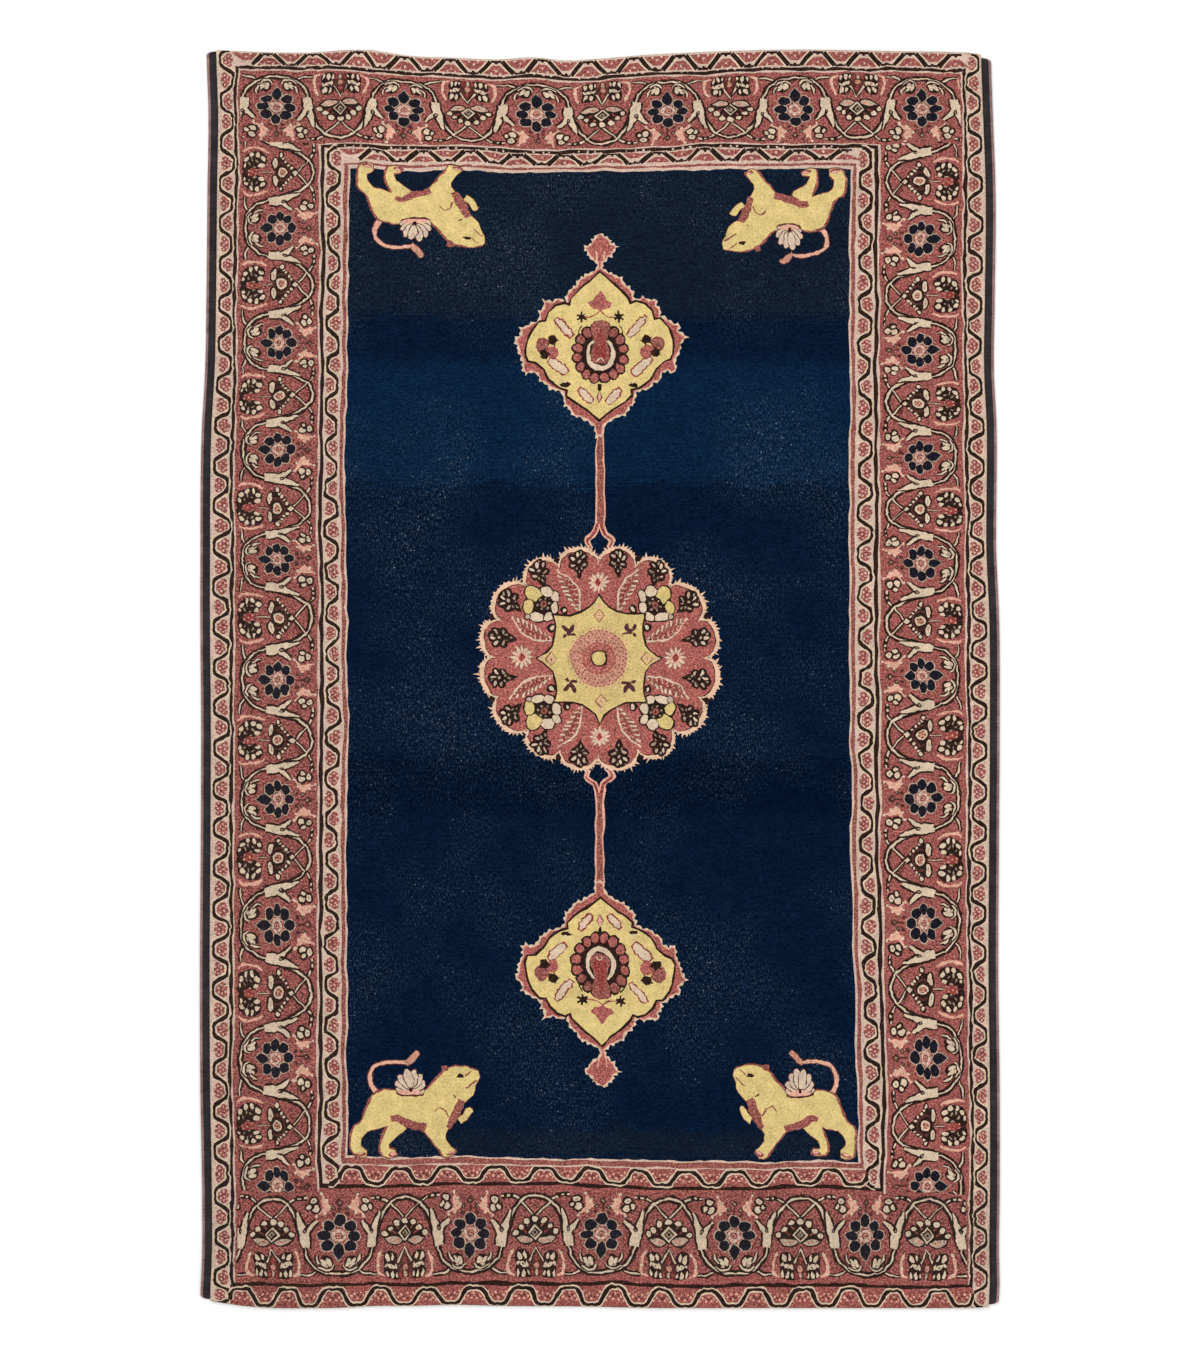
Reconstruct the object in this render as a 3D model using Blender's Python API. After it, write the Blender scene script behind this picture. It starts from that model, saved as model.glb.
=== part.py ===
"""Hand-knotted wool rug without a fringe, lying flat on its back.

The woven body is one flat solid with the rug's own uneven outline. Along each
long side runs one overcast edge, a flat cord wrapped in wool, in its own solid.
Metres, +Z up. The pile faces +Z, the rug's far end lies towards +Y, and the
origin is the middle of the underside.
"""
import math

import bmesh
import bpy
import numpy as np

# Driving sizes
RUG_WIDTH = 1.3210         # over both overcast edges, where the rug is widest
RUG_LENGTH = 2.0760        # between the ends, where the rug is longest
RUG_THICKNESS = 0.0070     # knotted pile and the weave under it
PILE_SHOULDER = 0.0018     # the cut pile leans back this far at the rug's rim
SHOULDER_STEPS = 3

EDGE_WIDTH = 0.0165        # an overcast edge, from the pile outwards
EDGE_THICKNESS = 0.0062
EDGE_END_RADIUS = 0.0070   # the wrapped cord ends in a round nose
EDGE_SECTION_SIDES = 12
EDGE_SQUARENESS = (0.5, 0.7)   # powers that square up the section, across and in height
EDGE_MIDDLE = 0.44             # the section's middle over the floor, of its thickness
EDGE_NOSE_STEPS = 4
EDGE_NOSE_START = 0.6          # how full the nose starts, in steps
SEAM_GAP = 0.0003          # between the woven body and an overcast edge

STATION_STEP = 0.026       # spacing of the points along an edge
MILLIMETRE = 0.001

# The long sides wander. Each row is one place along the rug, in metres from its
# middle towards the far end, and how far each side stands in there, in millimetres.
SIDE_ROWS = (
    # along,  left, right
    (-1.038,   1.0,   2.0),
    (-1.005,   1.0,   0.0),
    (-0.985,   2.4,   0.2),
    (-0.955,   3.6,   1.0),
    (-0.860,   3.8,   0.0),
    (-0.678,   0.8,   0.0),
    (-0.480,   0.0,   2.3),
    (-0.282,   1.3,   1.3),
    (-0.084,   2.0,   0.0),
    (0.114,    0.5,   1.3),
    (0.213,    0.8,   5.8),
    (0.312,    1.0,   5.3),
    (0.411,    3.0,   5.0),
    (0.510,    8.6,   9.6),
    (0.625,   10.7,   8.3),
    (0.807,   12.4,   6.9),
    (0.939,   14.0,  11.6),
    (1.010,   11.5,  14.0),
    (1.038,   10.7,  15.0),
)

# The two ends wander too. Each row is one place across the rug, in metres from
# its middle towards +X, and how far each end stands in there, in millimetres.
END_ROWS = (
    # across, far, near
    (-0.661,   1.6,  15.5),
    (-0.640,   0.6,  11.5),
    (-0.618,   1.2,   7.6),
    (-0.577,   3.3,   2.6),
    (-0.540,   4.2,   0.2),
    (-0.478,   4.8,   0.0),
    (-0.412,   0.3,   1.2),
    (-0.372,   1.0,   3.8),
    (-0.330,   8.3,   3.6),
    (-0.231,  13.7,   5.6),
    (-0.165,  16.2,   3.8),
    (-0.107,  12.4,   3.3),
    (-0.062,  18.0,   3.2),
    (0.000,   14.9,   2.1),
    (0.083,    8.3,   0.2),
    (0.165,    4.1,   0.0),
    (0.314,    0.0,   0.2),
    (0.495,    2.5,   0.0),
    (0.578,    4.0,   0.1),
    (0.624,    6.8,   0.6),
    (0.646,   11.5,   3.0),
    (0.661,   17.0,   8.0),
)

# How far each overcast edge stops short of the rug's full length, in millimetres.
EDGE_STOPS = {
    "left": {"near": 14.0, "far": 1.4},
    "right": {"near": 5.0, "far": 12.5},
}

# Colour, roughness of each material
FINISHES = {
    "wool_pile": ((0.30, 0.085, 0.075), 0.90),
    "overcast_wool": ((0.018, 0.014, 0.017), 0.85),
}


def column(rows, index):
    """One column of a table of rows, as an array."""
    return np.array([row[index] for row in rows])


def smooth(stations, values, at):
    """A smooth curve through (station, value) points, read at the places given."""
    slopes = np.gradient(values, stations)
    place = np.clip(np.searchsorted(stations, at) - 1, 0, len(stations) - 2)
    span = stations[place + 1] - stations[place]
    t = (at - stations[place]) / span
    start, end = values[place], values[place + 1]
    rise_in, rise_out = slopes[place] * span, slopes[place + 1] * span
    return (start * (2 * t**3 - 3 * t**2 + 1) + rise_in * (t**3 - 2 * t**2 + t)
            + end * (3 * t**2 - 2 * t**3) + rise_out * (t**3 - t**2))


def side_at(side, along):
    """X of a long side's outer line at the given places along the rug."""
    index, sign = {"left": (1, -1), "right": (2, 1)}[side]
    stands_in = smooth(column(SIDE_ROWS, 0), column(SIDE_ROWS, index), along)
    return sign * (RUG_WIDTH / 2 - stands_in * MILLIMETRE)


def end_at(end, across):
    """Y of an end's line at the given places across the rug."""
    index, sign = {"far": (1, 1), "near": (2, -1)}[end]
    stands_in = smooth(column(END_ROWS, 0), column(END_ROWS, index), across)
    return sign * (RUG_LENGTH / 2 - stands_in * MILLIMETRE)


def seam_at(side, along):
    """X of the line where the woven body meets the overcast edge."""
    sign = {"left": -1, "right": 1}[side]
    return side_at(side, along) - sign * EDGE_WIDTH


def stations(start, stop):
    """Evenly spaced places from start to stop, about STATION_STEP apart."""
    count = max(2, round(abs(stop - start) / STATION_STEP) + 1)
    return np.linspace(start, stop, count)


def body_outline():
    """The woven body's outline, anticlockwise from its near left corner."""
    half = RUG_LENGTH / 2
    corner = {}
    for side in ("left", "right"):
        for end, along in (("near", -half), ("far", half)):
            x = float(seam_at(side, np.array([along]))[0])
            corner[side, end] = (x, float(end_at(end, np.array([x]))[0]))
    near_x = stations(corner["left", "near"][0], corner["right", "near"][0])
    right_y = stations(corner["right", "near"][1], corner["right", "far"][1])
    far_x = stations(corner["right", "far"][0], corner["left", "far"][0])
    left_y = stations(corner["left", "far"][1], corner["left", "near"][1])
    runs = (
        np.column_stack((near_x, end_at("near", near_x))),
        np.column_stack((seam_at("right", right_y), right_y)),
        np.column_stack((far_x, end_at("far", far_x))),
        np.column_stack((seam_at("left", left_y), left_y)),
    )
    return np.vstack([run[:-1] for run in runs])


def inward(points):
    """The unit direction into a closed anticlockwise outline at each of its points."""
    ahead = np.roll(points, -1, axis=0) - points
    behind = points - np.roll(points, 1, axis=0)
    run = ahead / np.linalg.norm(ahead, axis=1)[:, None]
    run += behind / np.linalg.norm(behind, axis=1)[:, None]
    run /= np.linalg.norm(run, axis=1)[:, None]
    return np.column_stack((-run[:, 1], run[:, 0]))


def add_ring(mesh, points, height):
    """A closed ring of vertices at one height."""
    return [mesh.verts.new((x, y, height)) for x, y in points]


def join_rings(mesh, lower, upper):
    """A band of quads between two rings with equal numbers of vertices."""
    count = len(lower)
    for i in range(count):
        j = (i + 1) % count
        mesh.faces.new((lower[i], lower[j], upper[j], upper[i]))


def make_object(name, mesh, material):
    """Turn a finished bmesh into one object with its material."""
    data = bpy.data.meshes.new(name)
    mesh.to_mesh(data)
    mesh.free()
    data.materials.append(material)
    built = bpy.data.objects.new(name, data)
    bpy.context.collection.objects.link(built)
    return built


def wool(name):
    """A Principled material for one kind of wool."""
    colour, roughness = FINISHES[name]
    material = bpy.data.materials.new(name)
    material.use_nodes = True
    shader = material.node_tree.nodes["Principled BSDF"]
    shader.inputs["Base Color"].default_value = (*colour, 1.0)
    shader.inputs["Roughness"].default_value = roughness
    shader.inputs["Metallic"].default_value = 0.0
    return material


def woven_body(material):
    """The knotted body: a flat slab whose rim of cut pile leans back at the top."""
    outline = body_outline()
    into = inward(outline)
    mesh = bmesh.new()
    base = add_ring(mesh, outline, 0.0)
    mesh.faces.new(reversed(base))
    lower = base
    for step in range(SHOULDER_STEPS + 1):
        angle = math.pi / 2 * step / SHOULDER_STEPS
        back = PILE_SHOULDER * (1 - math.cos(angle))
        height = RUG_THICKNESS - PILE_SHOULDER * (1 - math.sin(angle))
        ring = add_ring(mesh, outline + into * back, height)
        join_rings(mesh, lower, ring)
        lower = ring
    mesh.faces.new(lower)
    return make_object("rug_body", mesh, material)


def edge_section():
    """An overcast edge's section, as (outwards, height): a flattened oval, flat below."""
    section = []
    power_across, power_up = EDGE_SQUARENESS
    for i in range(EDGE_SECTION_SIDES):
        angle = 2 * math.pi * (i + 0.5) / EDGE_SECTION_SIDES
        across = math.copysign(abs(math.cos(angle)) ** power_across, math.cos(angle))
        up = math.copysign(abs(math.sin(angle)) ** power_up, math.sin(angle))
        height = EDGE_MIDDLE + (1 - EDGE_MIDDLE) * up
        section.append(((1 + across) / 2, max(0.0, height)))
    widest = max(point[0] for point in section)
    tallest = max(point[1] for point in section)
    narrowest = min(point[0] for point in section)
    return [((u - narrowest) / (widest - narrowest), v / tallest) for u, v in section]


def edge_stations(side):
    """Places along an overcast edge, and how full its section is at each."""
    stops = EDGE_STOPS[side]
    start = -RUG_LENGTH / 2 + stops["near"] * MILLIMETRE
    stop = RUG_LENGTH / 2 - stops["far"] * MILLIMETRE
    steps = EDGE_NOSE_START + np.arange(EDGE_NOSE_STEPS)
    nose = steps / (EDGE_NOSE_START + EDGE_NOSE_STEPS) * math.pi / 2
    ramp = [(EDGE_END_RADIUS * (1 - math.cos(angle)), math.sin(angle)) for angle in nose]
    places = [(start + reach, full) for reach, full in ramp]
    middle = stations(start + EDGE_END_RADIUS, stop - EDGE_END_RADIUS)
    places += [(along, 1.0) for along in middle]
    places += [(stop - reach, full) for reach, full in reversed(ramp)]
    return places


def overcast_edge(side, material):
    """The cord of side warps wrapped in wool that closes one long side."""
    sign = {"left": -1, "right": 1}[side]
    section = edge_section()
    mesh = bmesh.new()
    rings = []
    for along, full in edge_stations(side):
        seam = float(seam_at(side, np.array([along]))[0]) + sign * SEAM_GAP
        width = EDGE_WIDTH - SEAM_GAP
        rings.append([
            mesh.verts.new((seam + sign * u * width * full, along, v * EDGE_THICKNESS * full))
            for u, v in section
        ])
    for lower, upper in zip(rings, rings[1:]):
        join_rings(mesh, lower, upper)
    mesh.faces.new(reversed(rings[0]))
    mesh.faces.new(rings[-1])
    bmesh.ops.recalc_face_normals(mesh, faces=mesh.faces)
    built = make_object(f"selvedge_{side}", mesh, material)
    built.data.shade_smooth()
    built.data.set_sharp_from_angle(angle=math.radians(40))
    return built


def clear_scene():
    """Start from an empty scene."""
    for item in list(bpy.data.objects):
        bpy.data.objects.remove(item, do_unlink=True)


def main():
    """Build the rug."""
    clear_scene()
    woven_body(wool("wool_pile"))
    overcast = wool("overcast_wool")
    for side in ("left", "right"):
        overcast_edge(side, overcast)


main()
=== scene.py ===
"""Looks of a hand-knotted Persian rug, seen from straight above.

The design is drawn as a chart: flat shapes painted one over another, measured in
knots from the rug's middle. The chart's outlines are triangulated into the mesh of
the pile, so each dye has its own faces with crisp edges. The mesh is then bent to
the rug's own uneven lines and outline.
"""

import math

import bpy
import numpy as np
from mathutils.geometry import delaunay_2d_cdt
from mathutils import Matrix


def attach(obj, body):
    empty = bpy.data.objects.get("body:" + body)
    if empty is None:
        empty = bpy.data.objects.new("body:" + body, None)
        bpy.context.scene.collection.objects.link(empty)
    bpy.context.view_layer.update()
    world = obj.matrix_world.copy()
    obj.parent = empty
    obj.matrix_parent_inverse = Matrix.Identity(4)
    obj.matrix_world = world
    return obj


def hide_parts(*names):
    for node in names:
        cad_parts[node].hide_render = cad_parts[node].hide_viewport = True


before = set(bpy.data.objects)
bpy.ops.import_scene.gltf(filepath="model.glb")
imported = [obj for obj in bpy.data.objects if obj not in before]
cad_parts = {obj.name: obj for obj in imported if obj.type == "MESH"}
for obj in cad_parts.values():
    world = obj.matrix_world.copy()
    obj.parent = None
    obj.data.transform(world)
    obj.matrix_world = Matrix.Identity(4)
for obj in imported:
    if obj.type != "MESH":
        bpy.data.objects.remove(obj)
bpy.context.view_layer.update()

# == Sizes and dyes ==

KNOT = 0.00165             # one knot of the chart, in metres
THICKNESS = 0.0070         # pile and weave
SHOULDER = 1.1             # the cut pile rounds off this far from the rim, in knots

# Half width, far end and near end of each band from the rim inwards, in knots
PILE = (390.2, 625.0, -628.0)
OUTER_LINE = (370.4, 608.7, -607.8)
OUTER_PALE = (366.9, 605.5, -604.2)
OUTER_DARK = (365.2, 604.0, -602.6)
GROUND = (363.2, 602.5, -600.5)
INNER_PALE = (281.8, 534.0, -512.3)
INNER_LINE = (279.7, 532.7, -509.4)
INNER_GUARD = (276.0, 529.3, -505.8)
STRIPE_RIM = (260.1, 516.4, -489.2)
STRIPE = (257.6, 514.7, -487.8)
FIELD_RIM = (254.0, 512.3, -482.6)
FIELD = (252.1, 509.3, -480.8)

# How far the weaver's six long lines run to the right of the chart's, in knots
LONG_LINES = (-368.7, -277.8, -251.0, 251.0, 277.8, 368.7)
LONG_SHIFTS = (
    # up,  outer, inner, field | field, inner, outer
    (619, 4.8, 2.0, 1.8, -2.2, -2.0, -2.5),
    (569, 4.8, 1.5, 1.8, -2.2, -1.0, -3.0),
    (479, 4.4, 0.8, 1.2, -2.2, -0.5, -2.6),
    (379, 3.7, 1.0, 1.0, -3.0, -2.0, -3.4),
    (279, 2.2, -0.2, -1.2, -2.2, -1.9, -2.3),
    (179, 0.3, -1.8, -2.5, -2.5, -1.5, -0.6),
    (79, 0.4, -0.4, -0.8, -2.8, -1.2, 0.0),
    (-41, 0.0, 0.0, 0.4, -1.8, -0.5, 1.5),
    (-161, 0.2, -1.0, -1.0, -1.2, -0.5, 0.9),
    (-281, 0.2, -1.0, -0.2, 1.2, 2.7, 0.9),
    (-401, -1.2, -2.0, 0.2, 5.7, 6.2, 4.0),
    (-521, 0.5, -1.6, 0.2, 6.7, 4.5, 4.1),
    (-621, 1.1, -2.0, 0.2, 6.7, 4.5, 3.5),
)
# How far the six cross lines run above the chart's, in knots
CROSS_LINES = (-606.0, -507.5, -479.5, 509.0, 531.0, 607.0)
CROSS_SHIFTS = (
    # right, outer, inner, field | field, inner, outer
    (-394, 0.0, -0.5, 4.5, 2.0, 2.5, 5.5),
    (-350, 0.2, -0.5, 4.5, 2.0, 2.5, 5.0),
    (-290, -0.3, -0.8, 4.5, 2.0, 2.5, 3.3),
    (-250, 0.7, -0.5, 3.5, 1.7, 2.7, 4.7),
    (-200, 0.4, 1.5, 3.0, 0.0, 1.1, -0.5),
    (-140, 1.9, 3.0, 2.5, -1.0, 0.0, -3.5),
    (-100, 1.8, 2.8, 2.0, -2.0, -2.3, -6.3),
    (-65, 1.6, 2.5, 1.5, -2.5, -3.6, -4.5),
    (-38, 1.8, 2.5, 1.5, -3.0, -4.3, -7.3),
    (0, 2.3, 1.2, 0.5, -2.0, -3.3, -5.6),
    (50, 0.0, -1.1, -0.5, -1.0, -0.8, -2.5),
    (100, -0.4, -2.2, -2.0, 0.5, 1.8, -0.3),
    (190, 0.1, -0.1, -1.5, 0.5, 1.9, 2.9),
    (300, -1.0, -1.3, -1.5, 1.0, 2.0, 2.6),
    (365, -2.0, -1.5, -1.5, 1.5, 1.5, 1.5),
    (395, -3.0, -1.5, -1.5, 1.5, 1.0, 0.5),
)

# Dyed wool, as sRGB values of 0 to 255
DYES = {
    "navy": (8, 24, 46),
    "ink": (38, 25, 21),
    "rose": (148, 80, 76),
    "brick": (142, 80, 73),
    "coral": (163, 89, 83),
    "cream": (208, 188, 162),
    "shell": (202, 177, 160),
    "peach": (220, 184, 154),
    "straw": (204, 182, 118),
    "blush": (216, 164, 142),
    "gold": (212, 190, 124),
    "madder": (138, 58, 56),
    "petal": (16, 22, 33),
    "ash": (184, 160, 140),
    "moss": (150, 136, 116),
    "dusty": (192, 138, 116),
    "wine": (78, 42, 38),
    "plum": (74, 38, 46),
}
DYE_NAMES = list(DYES)
RIM = 2.6                  # width of a usual dark outline, in knots


# == Chart tools ==

def curve(points, closed=False, step=3.0):
    """A smooth line through given points, with a point about every step."""
    p = np.asarray(points, float)
    if closed:
        p = np.vstack((p[-1], p, p[0], p[1]))
    else:
        p = np.vstack((2 * p[0] - p[1], p, 2 * p[-1] - p[-2]))
    out = []
    for a, b, c, d in zip(p, p[1:], p[2:], p[3:]):
        steps = max(1, round(math.dist(b, c) / step))
        for t in np.arange(steps) / steps:
            out.append(0.5 * (2 * b + (c - a) * t + (2 * a - 5 * b + 4 * c - d) * t * t
                              + (3 * b - a - 3 * c + d) * t**3))
    if not closed:
        out.append(p[-2])
    return np.array(out)


def moved(points, at=(0.0, 0.0), turn=0.0, size=1.0):
    """Points scaled, turned anticlockwise by degrees, and moved."""
    p = np.atleast_2d(np.asarray(points, float)) * size
    c, s = math.cos(math.radians(turn)), math.sin(math.radians(turn))
    return p @ np.array(((c, s), (-s, c))) + at


def around(radius, turn, centre=(0.0, 0.0)):
    """The point at a radius from a centre, turned anticlockwise from straight up."""
    return moved((0, radius), centre, turn)[0]


def oval(centre, rx, ry=None, turn=0.0, steps=None):
    """An ellipse."""
    ry = rx if ry is None else ry
    steps = steps or max(8, round(2 * math.pi * max(rx, ry) / 2.6))
    a = 2 * np.pi * np.arange(steps) / steps
    return moved(np.column_stack((rx * np.cos(a), ry * np.sin(a))), centre, turn)


def petal(length, width, belly=0.6, tip=0.0):
    """A petal or leaf from (0, 0) up to (0, length), widest at belly of its length."""
    half = width / 2
    side = curve([(tip * half, 0), (0.8 * half, 0.3 * belly * length), (half, belly * length),
                  (0.62 * half, (0.55 * belly + 0.45) * length), (0, length)], step=2.4)
    return np.vstack((side, (side * (-1, 1))[::-1][1:]))


def leaf(root, tip, width, belly=0.6, blunt=0.3):
    """A petal from a root to a tip."""
    run = np.subtract(tip, root)
    turn = math.degrees(math.atan2(-run[0], run[1]))
    return moved(petal(math.hypot(*run), width, belly, blunt), root, turn)


def lozenge(rx, ry, at=(0.0, 0.0)):
    """A diamond."""
    return moved([(0, -ry), (rx, 0), (0, ry), (-rx, 0)], at)


def rectangle(left, near, right, far):
    """Four corners."""
    return np.array([(left, near), (right, near), (right, far), (left, far)], float)


def box(band):
    """The rectangle of a band's half width, far end and near end."""
    half, far, near = band
    return rectangle(-half, near, half, far)


def from_right(half):
    """A closed outline from its right half."""
    return np.array(half + [(-x, y) for x, y in half[::-1] if x > 1e-6], float)


def from_quarter(quarter):
    """A closed outline from its upper right quarter."""
    return from_right(quarter + [(x, -y) for x, y in quarter[-2::-1]])


def normals(points, closed):
    """Unit normals, to the right of the way the points run, longer at corners."""
    p = np.asarray(points, float)
    if closed:
        ahead, behind = np.roll(p, -1, axis=0) - p, p - np.roll(p, 1, axis=0)
    else:
        run = np.diff(p, axis=0)
        ahead, behind = np.vstack((run, run[-1])), np.vstack((run[0], run))
    ahead = ahead / np.maximum(np.linalg.norm(ahead, axis=1), 1e-9)[:, None]
    behind = behind / np.maximum(np.linalg.norm(behind, axis=1), 1e-9)[:, None]
    run = ahead + behind
    length = np.linalg.norm(run, axis=1)[:, None]
    return np.column_stack((run[:, 1], -run[:, 0])) * 2 / np.maximum(length, 1.2) ** 2


def grown(outline, by):
    """A closed outline moved outwards by a distance."""
    p = np.asarray(outline, float)
    x, y = p.T
    area = np.sum(x * np.roll(y, -1) - np.roll(x, -1) * y)
    return p + normals(p, True) * by * (1 if area > 0 else -1)


def ribbon(path, width):
    """The outline of a line drawn along a path, of one width or a width at each point."""
    p = np.asarray(path, float)
    half = np.broadcast_to(np.asarray(width, float) / 2, (len(p),))[:, None]
    side = normals(p, False) * half
    return np.vstack((p + side, (p - side)[::-1]))


def tapered(path, widths):
    """Widths spread evenly along a path, one for each of its points."""
    along = np.r_[0, np.cumsum(np.linalg.norm(np.diff(path, axis=0), axis=1))]
    widths = np.atleast_1d(widths)
    return np.interp(along / along[-1], np.linspace(0, 1, len(widths)), widths)


def mirror_x(outline):
    """The mirror image to the left."""
    return (outline * (-1, 1))[::-1]


def mirror_y(outline):
    """The mirror image below."""
    return (outline * (1, -1))[::-1]


class Chart:
    """Shapes painted one over another, each an outline and a dye."""

    def __init__(self):
        self.shapes = []

    def fill(self, outline, dye):
        """A closed outline in one dye."""
        self.shapes.append((np.asarray(outline, float), dye))

    def blob(self, points, dye, step=3.0):
        """A smooth closed shape through points."""
        self.fill(curve(points, closed=True, step=step), dye)

    def outlined(self, outline, dye, rim=RIM, rim_dye="ink"):
        """A closed outline with a rim round it."""
        self.fill(grown(outline, rim), rim_dye)
        self.fill(outline, dye)

    def line(self, path, width, dye, rim=0.0, rim_dye="ink"):
        """A line through points as they are, of one width or a width at each."""
        if rim:
            self.fill(ribbon(path, np.asarray(width) + 2 * rim), rim_dye)
        self.fill(ribbon(path, width), dye)

    def stroke(self, points, widths, dye, rim=0.0, rim_dye="ink"):
        """A smooth line through points, with its widths spread evenly along it."""
        path = curve(points)
        self.line(path, tapered(path, widths), dye, rim, rim_dye)

    def dot(self, centre, radius, dye, rim=0.0, rim_dye="ink"):
        """A round spot."""
        if rim:
            self.fill(oval(centre, radius + rim), rim_dye)
        self.fill(oval(centre, radius), dye)

    def dots(self, centres, radius, dye):
        """Equal spots at several places."""
        for centre in centres:
            self.dot(centre, radius, dye)

    def rings(self, centre, *rings):
        """Spots inside one another, each a radius and a dye."""
        for radius, dye in rings:
            self.dot(centre, radius, dye)

    def ovals(self, rows, steps, dye=None, rim=0.0, wider=0.0, longer=0.0):
        """Rows of (x, y, rx, ry, turn), all in one dye or each with its own dye last."""
        for x, y, rx, ry, turn, *own in rows:
            outline = oval((x, y), rx + wider, ry + longer, turn, steps)
            if rim:
                self.fill(grown(outline, rim), "ink")
            self.fill(outline, dye or own[0])

    def add(self, other, place=lambda outline: outline):
        """Another chart's shapes, each outline sent through place."""
        self.shapes += [(place(outline), dye) for outline, dye in other.shapes]

    def both_sides(self, other):
        """Another chart and its mirror image in X."""
        self.add(other)
        self.add(other, mirror_x)

    def all_quarters(self, other):
        """Another chart and its mirror images in X, in Y and in both."""
        self.both_sides(other)
        self.add(other, mirror_y)
        self.add(other, lambda outline: mirror_x(mirror_y(outline)))


# == Main border ==

UNIT = 131.0               # rosette to rosette along the chart of a border
BAND = 90.0                # the charted border's width, from the field's side outwards


def rosette():
    """Eight dark petals with thin pale edges round a pale and rose eye."""
    chart = Chart()
    kite = [(0, 8), (5.2, 13), (4.6, 19.5), (0, 26.0), (-4.6, 19.5), (-5.2, 13)]
    petals = [(0, 15.6, 5.4, 6.6), (45, 14.0, 5.8, 5.8), (90, 13.6, 5.2, 6.0), (135, 14.4, 5.8, 5.9)]
    petals += [(360 - turn, *rest) for turn, *rest in petals[1:]]
    chart.outlined(kite, "petal", 1.2, "moss")
    for edge, dye in ((0.9, "ash"), (-0.1, "petal")):
        for turn, reach, rx, ry in petals:
            chart.fill(oval(-around(reach, turn), rx + edge, ry + edge, turn, 13), dye)
    chart.dot((0, 0), 6.6, "shell")
    chart.dots([around(5.2, turn) for turn in range(20, 380, 60)], 1.2, "dusty")
    chart.rings((0, 0), (3.9, "brick"), (2.2, "dusty"), (1.0, "wine"))
    return chart


def arch_side():
    """The right flank of the arch round a rosette: its stem and split leaf."""
    chart = Chart()
    chart.stroke([(50.7, 12.4), (57.0, 8.4), (65.5, 6.6)], 1.9, "cream", RIM)
    chart.stroke([(19.5, 80.4), (27, 84.6), (37, 85.4)], (1.3, 1.8, 0.7), "cream", 1.7)
    chart.stroke([(0, 84.4), (12, 83.0), (20.5, 78.6), (28.6, 69.6), (32.6, 58.5), (36.6, 46), (39.6, 33),
                  (43.4, 22.4), (50.7, 12.4)], (1.7, 1.6, 1.6, 1.2, 1.2, 1.9, 2.1), "cream", RIM)
    body = [(31.4, 57.6), (32.6, 48), (34.8, 40), (37.4, 30.5), (40.4, 20.5)]
    hook = [(32.2, 45), (28.0, 37.6), (21.6, 30.0)]
    chart.stroke(body, (11.8, 13.6, 11.0, 8.0, 5.4), "ink")
    chart.stroke(hook, (9.0, 8.6, 6.0), "ink")
    chart.stroke(hook, (5.2, 4.4, 2.2), "cream")
    chart.stroke(body, (8.0, 9.6, 7.0, 4.2, 1.8), "cream")
    chart.fill(oval((32.4, 39.6), 2.1, 3.4, -12, 9), "ink")
    chart.fill(oval((32.6, 40.4), 0.8, 1.6, -12, 6), "moss")
    return chart


def arch_buds():
    """Right half of the pair of buds under the arch's outer top."""
    chart = Chart()
    chart.fill(oval((12.0, 72.4), 6.6, 7.2, 24, 16), "ink")
    chart.ovals(((9.6, 72.6, 2.3, 4.6, 14, "cream"), (14.6, 72.2, 2.2, 4.2, 34, "cream"),
                 (13.0, 77.0, 2.4, 1.5, 24, "ash")), 10)
    chart.stroke([(4.6, 75.6), (7.4, 79.6), (13.0, 80.6), (18.6, 77.0)], (1.2, 2.0, 1.2), "cream", 1.6)
    chart.stroke([(17.2, 73.6), (20.4, 69.0), (20.8, 63.8)], (1.2, 2.0, 0.8), "cream", 1.6)
    return chart


def inner_sprigs():
    """Right half of what grows beside the rosette towards the field."""
    chart = Chart()
    chart.blob([(16.5, 3.6), (13.4, 8.5), (9.2, 14.0), (8.4, 17.4), (12.4, 20.6), (18.2, 22.6),
                (24.4, 26.0), (21.4, 21.0), (16.4, 17.6), (17.8, 9.2)], "blush", 4)
    chart.dots(((17.2, 3.2), (12.0, 9.4), (8.2, 15.6), (14.6, 22.4), (22.4, 25.6)), 1.5, "cream")
    chart.dot((6.6, 22.8), 2.2, "wine")
    brow = curve([(50.7, 12), (46, 8.4), (40, 6.0), (31.5, 6.0)])
    chart.line(brow, 5.0, "ink")
    for share in (0.08, 0.32, 0.56, 0.8):
        ends = [brow[round(at * (len(brow) - 1))] for at in (share, share + 0.14)]
        chart.line(ends, 1.8, "cream")
    chart.ovals(((25.0, 9.4, 3.5, 2.9, 10), (23.6, 17.4, 3.3, 3.7, -30), (29.4, 15.6, 1.9, 2.7, -20)),
                11, "cream", rim=2.0)
    chart.dot((25.0, 9.4), 1.1, "moss")
    return chart


def rosette_unit(tall):
    """All that belongs to one rosette. X runs along the border, Y outwards from 0."""
    chart = Chart()
    for part in (inner_sprigs(), arch_side(), arch_buds()):
        chart.both_sides(part)
    chart.fill(lozenge(4.2, 5.0, (0, 11.0)), "wine")
    chart.dot((0, 11.0), 1.2, "moss")
    chart.line([(0, 15), (0, 23)], 2.0, "wine")
    for x in (-6.0, 6.0):
        chart.rings((x, 16.8), (2.4, "wine"), (0.9, "moss"))
    chart.add(rosette(), lambda outline: moved(outline * (1.04, tall), (0, 45)))
    return chart


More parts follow.
